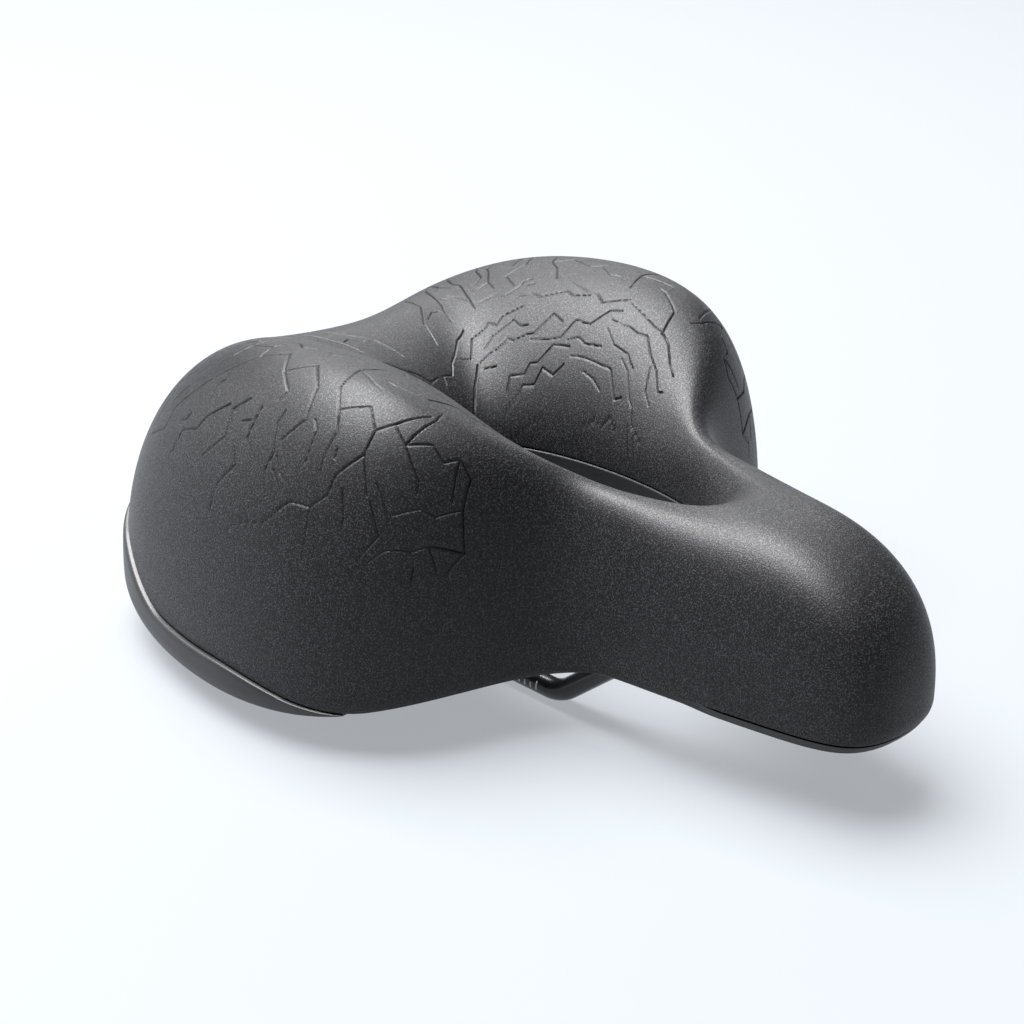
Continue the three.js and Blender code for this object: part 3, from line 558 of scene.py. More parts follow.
def crackle():
    """Spine lines along the wing, lines down the flank, and lines and spurs over the top."""
    lines = []

    def draw(line):
        line = kept(line, lines)
        if len(line) > 1:
            lines.append(line)
        return line

    spines = []
    for first, last, rise in ((2, 0.34, 12), (0.37, 0.68, 9), (0.71, 1, 14)):
        along = np.arange(first if first > 1 else first * ALONG, last * ALONG, 6.5)
        along = along + rng.uniform(-1.6, 1.6, len(along))
        out = rise + 4.0 * (-1) ** np.arange(len(along)) * rng.uniform(0.2, 1, len(along))
        spines.append(draw(np.stack([along, out], -1)))
    for start in np.concatenate(spines):
        down = draw(jagged(start, 90 + rng.uniform(-22, 22), rng.integers(3, 6), 8.5, 42))
        for joint in down[1:-1]:
            if rng.random() < 0.65:
                draw(jagged(joint, 90 + rng.choice([-60, 60]), rng.integers(1, 5), 7, 32))
        over = draw(jagged(start, -90 + rng.uniform(-25, 25), rng.integers(2, 5), 7.5, 48))
        for joint in over[1:-1]:
            if rng.random() < 0.6:
                draw(jagged(joint, rng.choice([0, 180]) + rng.uniform(-30, 30), rng.integers(2, 6), 7, 45))
    for out in (-12, -17.5, -23, -28.5, -34, -39.5, -45):
        for along in np.arange(4, ALONG - 10, 26):
            start = (along + rng.uniform(-7, 7), out + rng.uniform(-3, 3))
            draw(jagged(start, rng.uniform(-22, 22), rng.integers(4, 9), 8, 40))
    for out in (24, 33, 42):
        for along in np.arange(4, ALONG - 3, 9):
            start = (along + rng.uniform(-3, 3), out + rng.uniform(-4, 4))
            draw(jagged(start, 90 + rng.uniform(-35, 35), rng.integers(2, 5), 6.5, 42))
    for k in range(8):
        draw(jagged((1.5 + 3.4 * k, 20 + 2.2 * k), 118 + rng.uniform(-6, 6), rng.integers(1, 4), 6, 14))
    return lines


lines = crackle()
print("crackle:", len(lines), "lines,", sum(len(line) - 1 for line in lines), "segments per wing")


# %% Grooves on the skin's grid
GROOVE_HALF, GROOVE_DEPTH = 0.42, 0.5


def unrolled(sp, q):
    """Flat coordinates of the skin: the crest from above, and from there the arc length q."""
    crest = sp["rim"] + sp["along"] * (sp["lean"] * sp["reach"])
    return crest[:, None, :] + sp["along"][:, None, :] * q[..., None]


def groove_field(flat):
    """0 away from the lines and 1 in the middle of one, fading towards a line's open end."""
    field = np.zeros(flat.shape[:-1])
    folded = np.stack([np.abs(flat[..., 0]), flat[..., 1]], -1)
    for line in lines:
        laid = unrolled_line(line)
        fade = np.linspace(1, 0.55, len(laid)) if len(laid) > 2 else np.array([1, 0.7])
        for a, b, from_end, to_end in zip(laid[:-1], laid[1:], fade[:-1], fade[1:]):
            low, high = np.minimum(a, b) - GROOVE_HALF, np.maximum(a, b) + GROOVE_HALF
            near = ((folded > low) & (folded < high)).all(-1)
            away, share = distance(folded[near], a, b)
            strength = from_end + (to_end - from_end) * share
            field[near] = np.maximum(field[near], strength * (1 - smooth(away / GROOVE_HALF)))
    return field


def unrolled_line(line):
    """A line of the pattern in the same flat coordinates as the skin's points."""
    sp = spokes(CRACK_FIRST + line[:, 0] / CREST_PITCH)
    return unrolled(sp, line[:, 1][:, None])[:, 0, :]


# %% [markdown]
# ## Skin and foam
# The skin is a 2 mm sheet moulded over the foam without seams, so it has no stitches or piping and
# no slack: a cloth simulation, which is right for a sewn cushion, would only add folds that a
# bonded skin doesn't have. It is worked out row by row instead, with rolled edges where it ends on
# the shell and at the hole. Rows and spokes lie close together where the crackle is cut.

# %% The skin
EDGE_ROUND = 0.8


def rolled_edge(sp, curve, ends, steps=6):
    """A quarter circle that rolls the sheet's outer face into its edge: parameters and depths."""
    away = 0.01 if ends == "high" else -0.01
    end = cover_edge(sp) if ends == "high" else np.zeros_like(sp["edge"])
    here, there = curve(sp, end), curve(sp, end - away)
    pace = np.hypot(there[0] - here[0], there[1] - here[1]) / 0.01
    turn = np.linspace(0, np.pi / 2, steps)[1:]
    back = EDGE_ROUND * (1 - np.sin(turn)) / pace
    return (end - back if ends == "high" else end + back), EDGE_ROUND * (1 - np.cos(turn))


def skin_grid():
    """Points and groove strengths of the skin's loop: outer face, rolled edges and inner face."""
    half = np.concatenate([
        np.linspace(0, 4.6, 100, endpoint=False), np.linspace(4.6, 8.72, 540, endpoint=False),
        np.linspace(8.72, TAIL, 18)])
    sp = spokes(whole_ring(half))
    wall_t = np.concatenate([np.linspace(0.03, 0.3, 16, endpoint=False), np.linspace(0.3, 1, 130)])
    flank_share = np.concatenate([
        np.linspace(0, 0.58, 165)[1:], np.linspace(0.58, 0.9, 36)[1:], np.linspace(0.9, 0.985, 12)[1:]])
    edge = cover_edge(sp)
    s, z = (np.concatenate(pair, 1) for pair in zip(wall_curve(sp, wall_t[None, :]),
                                                    flank_curve(sp, flank_share[None, :] * edge)))
    steps = np.hypot(np.diff(s, axis=1), np.diff(z, axis=1))
    q = np.concatenate([np.zeros((len(s), 1)), np.cumsum(steps, 1)], 1)
    q -= q[:, len(wall_t) - 1][:, None]
    field = groove_field(unrolled(sp, q))
    depth = GROOVE_DEPTH * field
    outer = [wall_curve(sp, wall_t[None, :], depth[:, :len(wall_t)]),
             flank_curve(sp, flank_share[None, :] * edge, depth[:, len(wall_t):])]
    low_t, low_depth = rolled_edge(sp, wall_curve, "low")
    high_t, high_depth = rolled_edge(sp, flank_curve, "high")
    inner_t = np.linspace(1, 0, 36)[None, :]
    loop = [wall_curve(sp, low_t[:, ::-1], low_depth[::-1]), *outer, flank_curve(sp, high_t, high_depth),
            flank_curve(sp, inner_t * edge, COVER_WALL), wall_curve(sp, inner_t[:, 1:], COVER_WALL)]
    points = lofted(sp, loop)
    strength = np.zeros(points.shape[:2])
    strength[:, low_t.shape[1]:low_t.shape[1] + field.shape[1]] = field
    return points, strength


grid, strength = skin_grid()
cover = piece("cover_skin", [ring(grid)], "seat", skin, ["cover"],
              {"groove": strength.ravel()})

# %% [markdown]
# The foam lies between skin and shell and never shows in a whole saddle, but it is a piece of its
# own on the bench, so it gets its true shape: the pad's surface sunk by the skin, and a hollow
# underside that matches the shell's dome.

# %% The foam pad
HOLE_LEDGE, EDGE_LEDGE, DOME_ROUND = 5, 4.4, 2.6


def dome_curve(s0, z0, s1, z1, count=26):
    """Dome of the shell: a quarter superellipse between two corners, from the top down."""
    out, up = quarter(np.linspace(0, np.pi / 2, count)[None, :], DOME_ROUND)
    return s0 + (s1 - s0) * out, z1 + (z0 - z1) * up


def foam_grid():
    sp = spokes(whole_ring(np.linspace(0, TAIL, 150)))
    depth = COVER_WALL + FIT + 0.15
    low, edge = np.linspace(0, 1, 24)[None, :], cover_edge(sp)
    bottom = sp["edge"] + SHELL_WALL + FIT
    foot = np.maximum(edge, level(sp, bottom))
    side_t = edge + (foot - edge) * np.linspace(0, 1, 8)[None, 1:]
    flank_t = np.minimum(np.linspace(0, 1, 48)[None, 1:] * edge, level(sp, bottom))
    side_s, side_z = flank_curve(sp, side_t, depth + FIT * bumper_share(sp["u"]))
    flank_s, flank_z = flank_curve(sp, flank_t, depth)
    base = dome_curve(HOLE_LEDGE * sp["rim_slant"], np.full_like(edge, HOLE_RIM),
                      sp["foot"] - (EDGE_LEDGE - FIT) * sp["slant"], bottom)
    loop = [wall_curve(sp, low, depth), (flank_s, np.maximum(flank_z, bottom)),
            (side_s, np.maximum(side_z, bottom)), (base[0][:, ::-1], base[1][:, ::-1])]
    return lofted(sp, loop)


pad = piece("foam_core", [ring(foam_grid())], "seat", foam, ["foam_pad"])

# %% [markdown]
# ## The moulded shell
# Under the foam sits a polypropylene shell: a dome with a flange that carries the pad's edge, a
# collar round the hole, ribs, two round bosses for the suspension and a block that holds the nose
# bar. The sheet follows the same spokes as the pad. Ribs are separate walls whose tops run into
# the dome, and a ray shot upwards finds how high the dome is above each of their points.

# %% Sheet, flange and collar
COLLAR_DROP, COLLAR_WALL = 9, 2.5
SHELL_TOP = HOLE_RIM - FIT
FLANGE_ROUND, COLLAR_ROUND = 0.9, 0.8


def arc_points(centre_s, centre_z, radius, first, last, steps=5):
    """Quarter circle in the plane of a spoke, from one angle in degrees to another."""
    angle = np.radians(np.linspace(first, last, steps))[None, :]
    return centre_s + radius * np.cos(angle), centre_z + radius * np.sin(angle)


def shell_grid():
    sp = spokes(whole_ring(np.linspace(0, TAIL, 200)))
    one = np.ones_like(sp["edge"])
    top, bottom = sp["edge"] + SHELL_WALL, sp["edge"]
    out = smooth((NOSE_FLANGE_OUT - from_nose(sp["u"])) / 0.3 + 0.5)
    rim_t = level(sp, top) + (1 - level(sp, top)) * np.linspace(0, 1, 6)[None, :]
    rim_s, rim_z = flank_curve(sp, rim_t, (COVER_WALL + FIT) * (1 - out) + 0.25 * out)
    rim = rim_s[:, -1:]
    ledge, collar = HOLE_LEDGE * sp["rim_slant"], COLLAR_WALL * sp["rim_slant"]
    upper = dome_curve(ledge, SHELL_TOP * one, sp["foot"] - EDGE_LEDGE * sp["slant"], top)
    lower = dome_curve(ledge, (SHELL_TOP - SHELL_WALL) * one,
                       sp["foot"] - (EDGE_LEDGE + SHELL_WALL) * sp["slant"], bottom)
    r, c, foot_z = FLANGE_ROUND, COLLAR_ROUND, SHELL_TOP - COLLAR_DROP
    loop = [arc_points(c * one, (SHELL_TOP - c) * one, c, 180, 90), upper,
            (rim_s, np.clip(rim_z, bottom + r, top)), arc_points(rim - r, bottom + r, r, 0, -90),
            (lower[0][:, ::-1], lower[1][:, ::-1]), (collar, (SHELL_TOP - SHELL_WALL) * one),
            arc_points(collar - c, (foot_z + c) * one, c, 0, -90),
            arc_points(c * one, (foot_z + c) * one, c, -90, -180)]
    return lofted(sp, loop)


sheet_points, sheet_faces = ring(shell_grid())
dome = BVHTree.FromPolygons(sheet_points.tolist(), sheet_faces[0].tolist())


def roof(x, y):
    """Height of the shell's underside above a point, or 0 where there is none."""
    hit = dome.ray_cast(Vector((x, y, -5)), Vector((0, 0, 1)))[0]
    return hit.z if hit else 0.0


# %% Ribs
RIB_DROP, RIB_WALL = 9, 2.4
RIB_ABOVE_EDGE = 5                            # ribs stop this far above the flange's lower face
BOSS_Z, BOSS_R = 50, 14
PUCK_X, YOKE_Y = 34, 87
RIBS_X, RIBS_Y = (-62, -PUCK_X, PUCK_X, 62), (-4, 30, 64)    # ribs along and across the shell

rim_u = np.linspace(0, len(RING), 720, endpoint=False)
RIM_FLAT, RIM_EDGE = outline(rim_u), spline(rim_u)[:, COLUMNS.index("edge")]


def lowest(line):
    """How far down ribs may come at each point of a line, from the nearest edge of the pad."""
    away = np.linalg.norm(line[:, None, :] - RIM_FLAT[None, :, :], axis=-1)
    return RIM_EDGE[away.argmin(1)] + RIB_ABOVE_EDGE


def fin(line, tops, wall):
    """A wall along a line of points, its top sunk into the dome and its lower edge rounded."""
    bottoms = np.maximum(tops - RIB_DROP, lowest(line))
    side = unit(np.stack([-(line[-1] - line[0])[1], (line[-1] - line[0])[0]]))
    across = np.array([-1, -1, -0.7, 0, 0.7, 1, 1]) * wall / 2
    lift = np.array([0, wall / 2, wall / 6, 0, wall / 6, wall / 2, 0])
    is_top = np.array([1, 0, 0, 0, 0, 0, 1])
    flat = line[:, None, :] + side * across[None, :, None]
    z = np.where(is_top, tops[:, None] + SHELL_WALL / 2, bottoms[:, None] + lift)
    return tube(np.concatenate([flat, z[..., None]], -1))


def ribs_along(line, keep_clear):
    """The stretches of a rib line that have the dome above them, each as a fin."""
    tops = np.array([roof(x, y) for x, y in line])
    there = (tops > lowest(line) + 3) & ~keep_clear
    made, first = [], None
    for i, here in enumerate(np.append(there, False)):
        if here and first is None:
            first = i
        elif not here and first is not None:
            if i - first > 3:
                made.append(fin(line[first:i], tops[first:i], RIB_WALL))
            first = None
    return made


def shell_ribs():
    made = []
    for x in RIBS_X:
        y = np.linspace(-60, 132, 193)
        line = np.stack([np.full_like(y, x), y], -1)
        made += ribs_along(line, (abs(x) == PUCK_X) & (np.abs(y - YOKE_Y) < BOSS_R + 2))
    for y in RIBS_Y:
        for sign in (-1, 1):
            x = sign * np.linspace(RAIL_GAUGE / 2 + 3, 100, 80)
            made += ribs_along(np.stack([x, np.full_like(x, y)], -1), np.zeros(len(x), bool))
    return made


# %% Lathed shapes and slabs with rounded edges
def fillet(profile, radius, steps=4):
    """Replaces each inner corner of an open profile by a quarter-turn curve of about that radius."""
    profile = np.asarray(profile, float)
    out = [profile[0]]
    for before, corner, after in zip(profile[:-2], profile[1:-1], profile[2:]):
        back, on = before - corner, after - corner
        trim = min(radius, 0.45 * np.linalg.norm(back), 0.45 * np.linalg.norm(on))
        start, end = corner + trim * unit(back), corner + trim * unit(on)
        t = np.linspace(0, 1, steps + 1)[:, None]
        out += list((1 - t) ** 2 * start + 2 * t * (1 - t) * corner + t ** 2 * end)
    out.append(profile[-1])
    return np.array(out)


def around(count):
    """Angles of a whole turn, evenly spaced."""
    return np.linspace(0, 2 * np.pi, count, endpoint=False)


def turned(profile, x, y, sides=72, hexagon=0):
    """Revolves [radius, height] points about an upright axis. The first `hexagon` rows have a
    six-sided outline whose flats are at the given radius."""
    angle = around(sides)
    flats = 1 / np.cos((angle + np.pi / 6) % (np.pi / 3) - np.pi / 6)
    share = (np.arange(len(profile)) < hexagon)[:, None]
    radius = profile[:, :1] * np.where(share, flats[None, :], 1.0)
    z = np.broadcast_to(profile[:, 1:], radius.shape)
    return tube(np.stack([x + radius * np.cos(angle), y + radius * np.sin(angle), z], -1))


def revolved(r, z, x, y, sides=72):
    """A ring: a closed loop of radii and heights carried round an upright axis."""
    angle = around(sides)[:, None]
    heights = np.broadcast_to(z, (sides, len(z)))
    return ring(np.stack([x + r * np.cos(angle), y + r * np.sin(angle), heights], -1))


def collar_ring(inner, outer, low, high, x, y, edge=0.3):
    """A flat ring with rounded edges."""
    corners = [[inner, (low + high) / 2], [inner, low], [outer, low], [outer, high], [inner, high],
               [inner, (low + high) / 2]]
    return revolved(*fillet(corners, edge)[:-1].T, x, y)


def slab(shape, low, high, edge):
    """A plate of any smooth outline: its top and bottom edges roll over by a quarter circle."""
    tangent = unit(np.roll(shape, -1, 0) - np.roll(shape, 1, 0))
    inward = np.stack([-tangent[:, 1], tangent[:, 0]], -1)
    turn = np.linspace(0, np.pi / 2, 5)
    inset = edge * np.concatenate([1 - np.sin(turn), 1 - np.cos(turn)])
    height = np.concatenate([low + edge * (1 - np.cos(turn)), high - edge * (1 - np.sin(turn))])
    flat = shape[None, :, :] + inward[None, :, :] * inset[:, None, None]
    return tube(np.concatenate([flat, np.broadcast_to(height[:, None, None], flat.shape[:2] + (1,))], -1))


def rounded_rectangle(width, depth, corner, x, y, steps=6):
    """Outline of a rectangle with round corners, anticlockwise."""
    turn = np.linspace(0, np.pi / 2, steps)
    parts = []
    for quarter, (sx, sy) in enumerate(((1, 1), (-1, 1), (-1, -1), (1, -1))):
        angle = turn + quarter * np.pi / 2
        parts.append(np.stack([x + sx * (width / 2 - corner) + corner * np.cos(angle),
                               y + sy * (depth / 2 - corner) + corner * np.sin(angle)], -1))
    return np.concatenate(parts)


def bored(made, x, y, z, radius, length, axis):
    """Cuts a round bore through a piece with a Boolean, which is applied at once."""
    bpy.ops.mesh.primitive_cylinder_add(
        vertices=48, radius=radius * MM, depth=length * MM, location=(x * MM, (y + SHIFT_Y) * MM, z * MM),
        rotation=(0, math.pi / 2, 0) if axis == "x" else (0, 0, 0))
    drill = bpy.context.active_object
    made.modifiers.new("bore", "BOOLEAN").object = drill
    made.modifiers["bore"].operation = "DIFFERENCE"
    bpy.context.view_layer.update()
    cut = bpy.data.meshes.new_from_object(made.evaluated_get(bpy.context.evaluated_depsgraph_get()))
    made.modifiers.clear()
    made.data = cut
    cut.set_sharp_from_angle(angle=SHARP)
    bpy.data.objects.remove(drill)


# %% The shell in one piece
CAP_WIDTH, CAP_LENGTH, CAP_HEIGHT = 11, 36, 7
NOSE_BAR_Z = 38
CAP_GAP = FIT / 2


def boss(x):
    profile = fillet([[4, BOSS_Z + 3], [6, BOSS_Z], [BOSS_R, BOSS_Z], [BOSS_R + 0.6, SHELL_TOP - 1]], 0.6)
    return turned(profile, x, YOKE_Y)


nose_block = slab(rounded_rectangle(CAP_WIDTH, CAP_LENGTH, 1.5, 0, NOSE_BAR_Y),
                  NOSE_BAR_Z + CAP_GAP, SHELL_TOP - SHELL_WALL / 2, 0.5)
block = piece("nose_block", [nose_block], "seat", shell_plastic)
bored(block, 0, NOSE_BAR_Y, NOSE_BAR_Z, RAIL_R + FIT, 3 * CAP_WIDTH, "x")
piece("shell_sheet", [(sheet_points, sheet_faces), *shell_ribs(), boss(PUCK_X), boss(-PUCK_X)],
      "seat", shell_plastic, ["base_shell"])

# %% [markdown]
# ## The tail bumper
# A separate bumper wraps the tail under the skin. It stands 1.6 mm proud, so its upper edge makes
# a thin lip, and it runs out to nearly nothing at both ends. It is a tube along the outline: one
# closed section per spoke, capped at its two ends.

# %% The bumper and its tabs
BUMPER_END = BUMPER_REACH - 0.16              # cut off where its rise is under a millimetre
TAB_LENGTH, TAB_WIDTH, TAB_WALL = 12, 7, 2
TAB_STATIONS = {"left": -0.45, "middle": 0.0, "right": 0.45}
SCREW_R, SCREW_HEAD_R, SCREW_HEAD_H = 2, 3.8, 2.6


def bumper_grid():
    u = TAIL + np.linspace(-BUMPER_END, BUMPER_END, 420)
    sp = spokes(u)
    share = bumper_share(sp["u"])
    proud = BUMPER_PROUD * (0.15 + 0.85 * share)
    top, low, r = cover_edge(sp), sp["edge"], 0.1 + 0.8 * share
    turn = np.linspace(np.pi / 2, 0, 6)
    lip_t = top + 0.09 * (1 - top) * (1 - np.sin(turn))
    lip = flank_curve(sp, lip_t, -(proud - 0.9 * share * (1 - np.cos(turn))))
    side_t = lip_t[:, -1:] + (1 - lip_t[:, -1:]) * np.linspace(0, 1, 22)[None, 1:]
    side = flank_curve(sp, side_t, -proud)
    inner = flank_curve(sp, top + (1 - top) * np.linspace(1, 0, 12)[None, :], COVER_WALL)
    out = side[0][:, -1:]
    loop = [(lip[0], np.maximum(lip[1] - FIT, low + r)), (side[0], np.maximum(side[1] - FIT, low + r)),
            arc_points(out - r, low + r, r, 0, -90), (inner[0][:, :1], low),
            (inner[0], np.maximum(inner[1] - FIT, low))]
    return lofted(sp, loop)


def from_edge(du, out):
    """A point measured outwards from the tucked edge of the pad, and the outline's direction."""
    sp = spokes(np.array([TAIL + du]))
    tangent = unit(outline(np.array([TAIL + du + 0.02])) - outline(np.array([TAIL + du - 0.02])))[0]
    normal = np.array([tangent[1], -tangent[0]])
    spot = sp["rim"][0] + sp["along"][0] * sp["foot"][0, 0] + normal * out
    return spot, math.atan2(normal[1], normal[0]), sp["edge"][0, 0] - 2 * FIT


def tab(du):
    spot, angle, top = from_edge(du, BUMPER_PROUD / 2 - TAB_LENGTH / 2)
    plain = rounded_rectangle(TAB_LENGTH, TAB_WIDTH, 1.5, 0, 0)
    spin = np.array([[math.cos(angle), math.sin(angle)], [-math.sin(angle), math.cos(angle)]])
    return slab(plain @ spin + spot, top - TAB_WALL, top + 0.6, 0.4)


piece("tail_bumper", [tube(bumper_grid()), *map(tab, TAB_STATIONS.values())],
      "seat", bumper_plastic, ["rear_bumper"])

# %% [markdown]
# ## Rails
# One steel rod is bent into both rails: across the nose, down to the level stretch that the seat
# post clamps, and up again into the yoke. Its centre line is straight runs joined by short curves,
# and the round section is carried along it. A curve object with a bevel would do the same, but its
# mesh could not be checked point by point against the design.

# %% Centre line of the rod
CLAMP_FRONT, CLAMP_REAR = -20.5, 52
YOKE_BOTTOM, YOKE_HEIGHT, YOKE_DEPTH, YOKE_PAD_R = 18, 12, 18, 15
YOKE_RAIL_Z = YOKE_BOTTOM + YOKE_HEIGHT / 2
NOSE_GAUGE, RAIL_BEND, NOSE_BEND = 24, 13, 6
FRONT_SLOPE, REAR_SLOPE = math.radians(39), math.radians(50)


def rail_corners():
    """Corners of the rod: one side from its end in the yoke to the nose bar, then the other."""
    wide, narrow = RAIL_GAUGE / 2, NOSE_GAUGE / 2
    rise_front = CLAMP_FRONT - (NOSE_BAR_Z - RAIL_R) / math.tan(FRONT_SLOPE)
    rise_rear = CLAMP_REAR + (YOKE_RAIL_Z - RAIL_R) / math.tan(REAR_SLOPE)
    side = np.array([
        [wide, YOKE_Y + YOKE_DEPTH / 2 - 3, YOKE_RAIL_Z], [wide, rise_rear, YOKE_RAIL_Z],
        [wide, CLAMP_REAR, RAIL_R], [wide, CLAMP_FRONT, RAIL_R],
        [narrow, rise_front, NOSE_BAR_Z], [narrow, NOSE_BAR_Y, NOSE_BAR_Z]])
    return np.concatenate([side, side[::-1] * [-1, 1, 1]])


def bent_line(corners, bends, spacing):
    """Straight runs with a quadratic curve at each corner, then points at an even spacing."""
    line = [corners[:1]]
    for before, corner, after, bend in zip(corners[:-2], corners[1:-1], corners[2:], bends):
        back, on = unit(before - corner), unit(after - corner)
        trim = bend / math.tan(math.acos(np.clip(back @ on, -1, 1)) / 2)
        t = np.linspace(0, 1, 25)[:, None]
        line.append((1 - t) ** 2 * (corner + back * trim) + 2 * t * (1 - t) * corner
                    + t ** 2 * (corner + on * trim))
    line = np.concatenate([*line, corners[-1:]])
    run = np.concatenate([[0], np.cumsum(np.linalg.norm(np.diff(line, axis=0), axis=1))])
    even = np.linspace(0, run[-1], round(run[-1] / spacing))
    return np.stack([np.interp(even, run, line[:, k]) for k in range(3)], -1)


def rod(line, radius, sides=40):
    """A round section carried along a line that is nowhere upright, with its end edges eased."""
    along = unit(np.gradient(line, axis=0))
    side = unit(np.cross(along, [0, 0, 1]))
    up = np.cross(side, along)
    angle = around(sides)[None, :, None]
    r = np.full(len(line), radius)
    r[[0, -1]] -= 0.6
    r[[1, -2]] -= 0.1
    return tube(line[:, None, :] + r[:, None, None]
                * (np.cos(angle) * side[:, None, :] + np.sin(angle) * up[:, None, :]))


one_side = [RAIL_BEND] * 4 + [NOSE_BEND]
rod_line = bent_line(rail_corners(), one_side + one_side[::-1], 0.8)
piece("bent_rails", [rod(rod_line, RAIL_R)], "rails", rail_steel, ["rail_frame"])
print("rod length", round(float(np.linalg.norm(np.diff(rod_line, axis=0), axis=1).sum())), "mm")

# %% [markdown]
# ## Yoke, elastomers and fasteners
# A nylon yoke joins the rail ends and carries two elastomer pucks between pressed steel cups. One
# bolt runs up through each puck into a nut in the shell. The pucks flatten as the seat sinks.
# Fasteners are lathe work with a hexagon socket in the head.

# %% The yoke and the nose cap
YOKE_BLEND = 8                                # a higher power leaves a sharper corner at the pads


def yoke_outline():
    """A bar that swells into a round pad at each end: half depth is the larger of bar and circle."""
    x = (PUCK_X + YOKE_PAD_R) * np.sin(np.linspace(-np.pi / 2, np.pi / 2, 121))
    past = np.clip(np.abs(x) - PUCK_X, -YOKE_PAD_R, None)
    circle = np.sqrt(np.clip(YOKE_PAD_R ** 2 - past ** 2, 0, None))
    bar = np.where(np.abs(x) < PUCK_X, YOKE_DEPTH / 2, 0)
    half = np.minimum((circle ** YOKE_BLEND + bar ** YOKE_BLEND) ** (1 / YOKE_BLEND), YOKE_PAD_R)
    lower = np.stack([x, YOKE_Y - half], -1)
    upper = np.stack([x, YOKE_Y + half], -1)[::-1]
    return np.concatenate([lower, upper[1:-1]])


piece("rail_yoke", [slab(yoke_outline(), YOKE_BOTTOM, YOKE_BOTTOM + YOKE_HEIGHT, 1.0)],
      "rails", yoke_plastic, ["rear_yoke"])
CAP_TOP = NOSE_BAR_Z - CAP_GAP
CAP_BOTTOM = CAP_TOP - CAP_HEIGHT
cap = piece("nose_bar_cap", [slab(rounded_rectangle(CAP_WIDTH, CAP_LENGTH, 2.5, 0, NOSE_BAR_Y),
                                  CAP_BOTTOM, CAP_TOP, 0.7)],
            "seat", shell_plastic, ["nose_cap"])
bored(cap, 0, NOSE_BAR_Y, NOSE_BAR_Z, RAIL_R + FIT, 3 * CAP_WIDTH, "x")

# %% Elastomers and cups
BOLT_R, BOLT_PLAY = 3, 1.2
PUCK_R, PUCK_WAIST, CUP_WALL, CUP_OVERHANG = 13, 11.4, 1.5, 0.8
CUP_BOTTOM = YOKE_BOTTOM + YOKE_HEIGHT + FIT
PUCK_BOTTOM = CUP_BOTTOM + CUP_WALL + FIT
UPPER_CUP_TOP = BOSS_Z - FIT
PUCK_TOP = UPPER_CUP_TOP - CUP_WALL - FIT


def puck(x):
    """A waisted ring: its side is a squared sine, its edges are eased and its bore is straight."""
    t = np.linspace(0, 1, 41)
    eased = 0.5 * (np.exp(-t / 0.03) + np.exp(-(1 - t) / 0.03))
    side = PUCK_R - (PUCK_R - PUCK_WAIST) * np.sin(np.pi * t) ** 2 - eased
    seam = 0.18 * np.exp(-((t - 0.5) / 0.012) ** 2)
    bore = BOLT_R + BOLT_PLAY
    r = np.concatenate([[bore, (bore + PUCK_R) / 2], side + seam, [(bore + PUCK_R) / 2, bore]])
    z = np.concatenate([[0, 0], t, [1, 1]]) * (PUCK_TOP - PUCK_BOTTOM) + PUCK_BOTTOM
    return revolved(r, z, x, YOKE_Y, 96)


def steel(name, solid, body, packed_name):
    """A zinc-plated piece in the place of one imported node."""
    piece(name, [solid], body, zinc, [packed_name])


def cup(x, low):
    return collar_ring(BOLT_R + BOLT_PLAY, PUCK_R + CUP_OVERHANG, low, low + CUP_WALL, x, YOKE_Y, 0.5)


SIDES = {"left": PUCK_X, "right": -PUCK_X}
for side, x in SIDES.items():
    rubber_puck = piece(f"rubber_puck_{side}", [puck(x)], "rails", rubber,
                        [f"elastomer_{side}"])
    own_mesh(rubber_puck)
    steel(f"pressed_cup_low_{side}", cup(x, CUP_BOTTOM), "rails", f"lower_cup_{side}")
    steel(f"pressed_cup_high_{side}", cup(x, UPPER_CUP_TOP - CUP_WALL), "seat", f"upper_cup_{side}")


# %% Screws, bolts and washers
def socket_screw(x, y, head_bottom, head_r, head_h, shank_r, top, socket=1.6):
    """Hexagon socket, rounded head and shank, pointing up, as one lathed profile."""
    flats = head_r * 0.45
    inside = [[0.05, head_bottom + socket + 0.3], [flats, head_bottom + socket], [flats, head_bottom + 0.25]]
    head = fillet([[flats + 0.45, head_bottom], [head_r, head_bottom], [head_r, head_bottom + head_h],
                   [shank_r, head_bottom + head_h], [shank_r, top - 0.5], [shank_r - 0.4, top]], 0.45)
    return turned(np.concatenate([inside, head]), x, y, 60, hexagon=3)


WASHER_TOP = YOKE_BOTTOM - FIT
WASHER_R, WASHER_H = 8, 1.5
BOLT_HEAD_R, BOLT_HEAD_H = 5, 4
BOLT_HEAD_LOW = WASHER_TOP - WASHER_H - FIT - BOLT_HEAD_H
NUT_H = 4.5
CAP_SCREW_AWAY, CAP_SCREW_BITE = 12.5, 9      # from the nose bar's middle, along and up


def small_screw(x, y, seat_z, top):
    """A screw whose head sits a clearance below a face at seat_z."""
    return socket_screw(x, y, seat_z - FIT - SCREW_HEAD_H, SCREW_HEAD_R, SCREW_HEAD_H, SCREW_R, top)


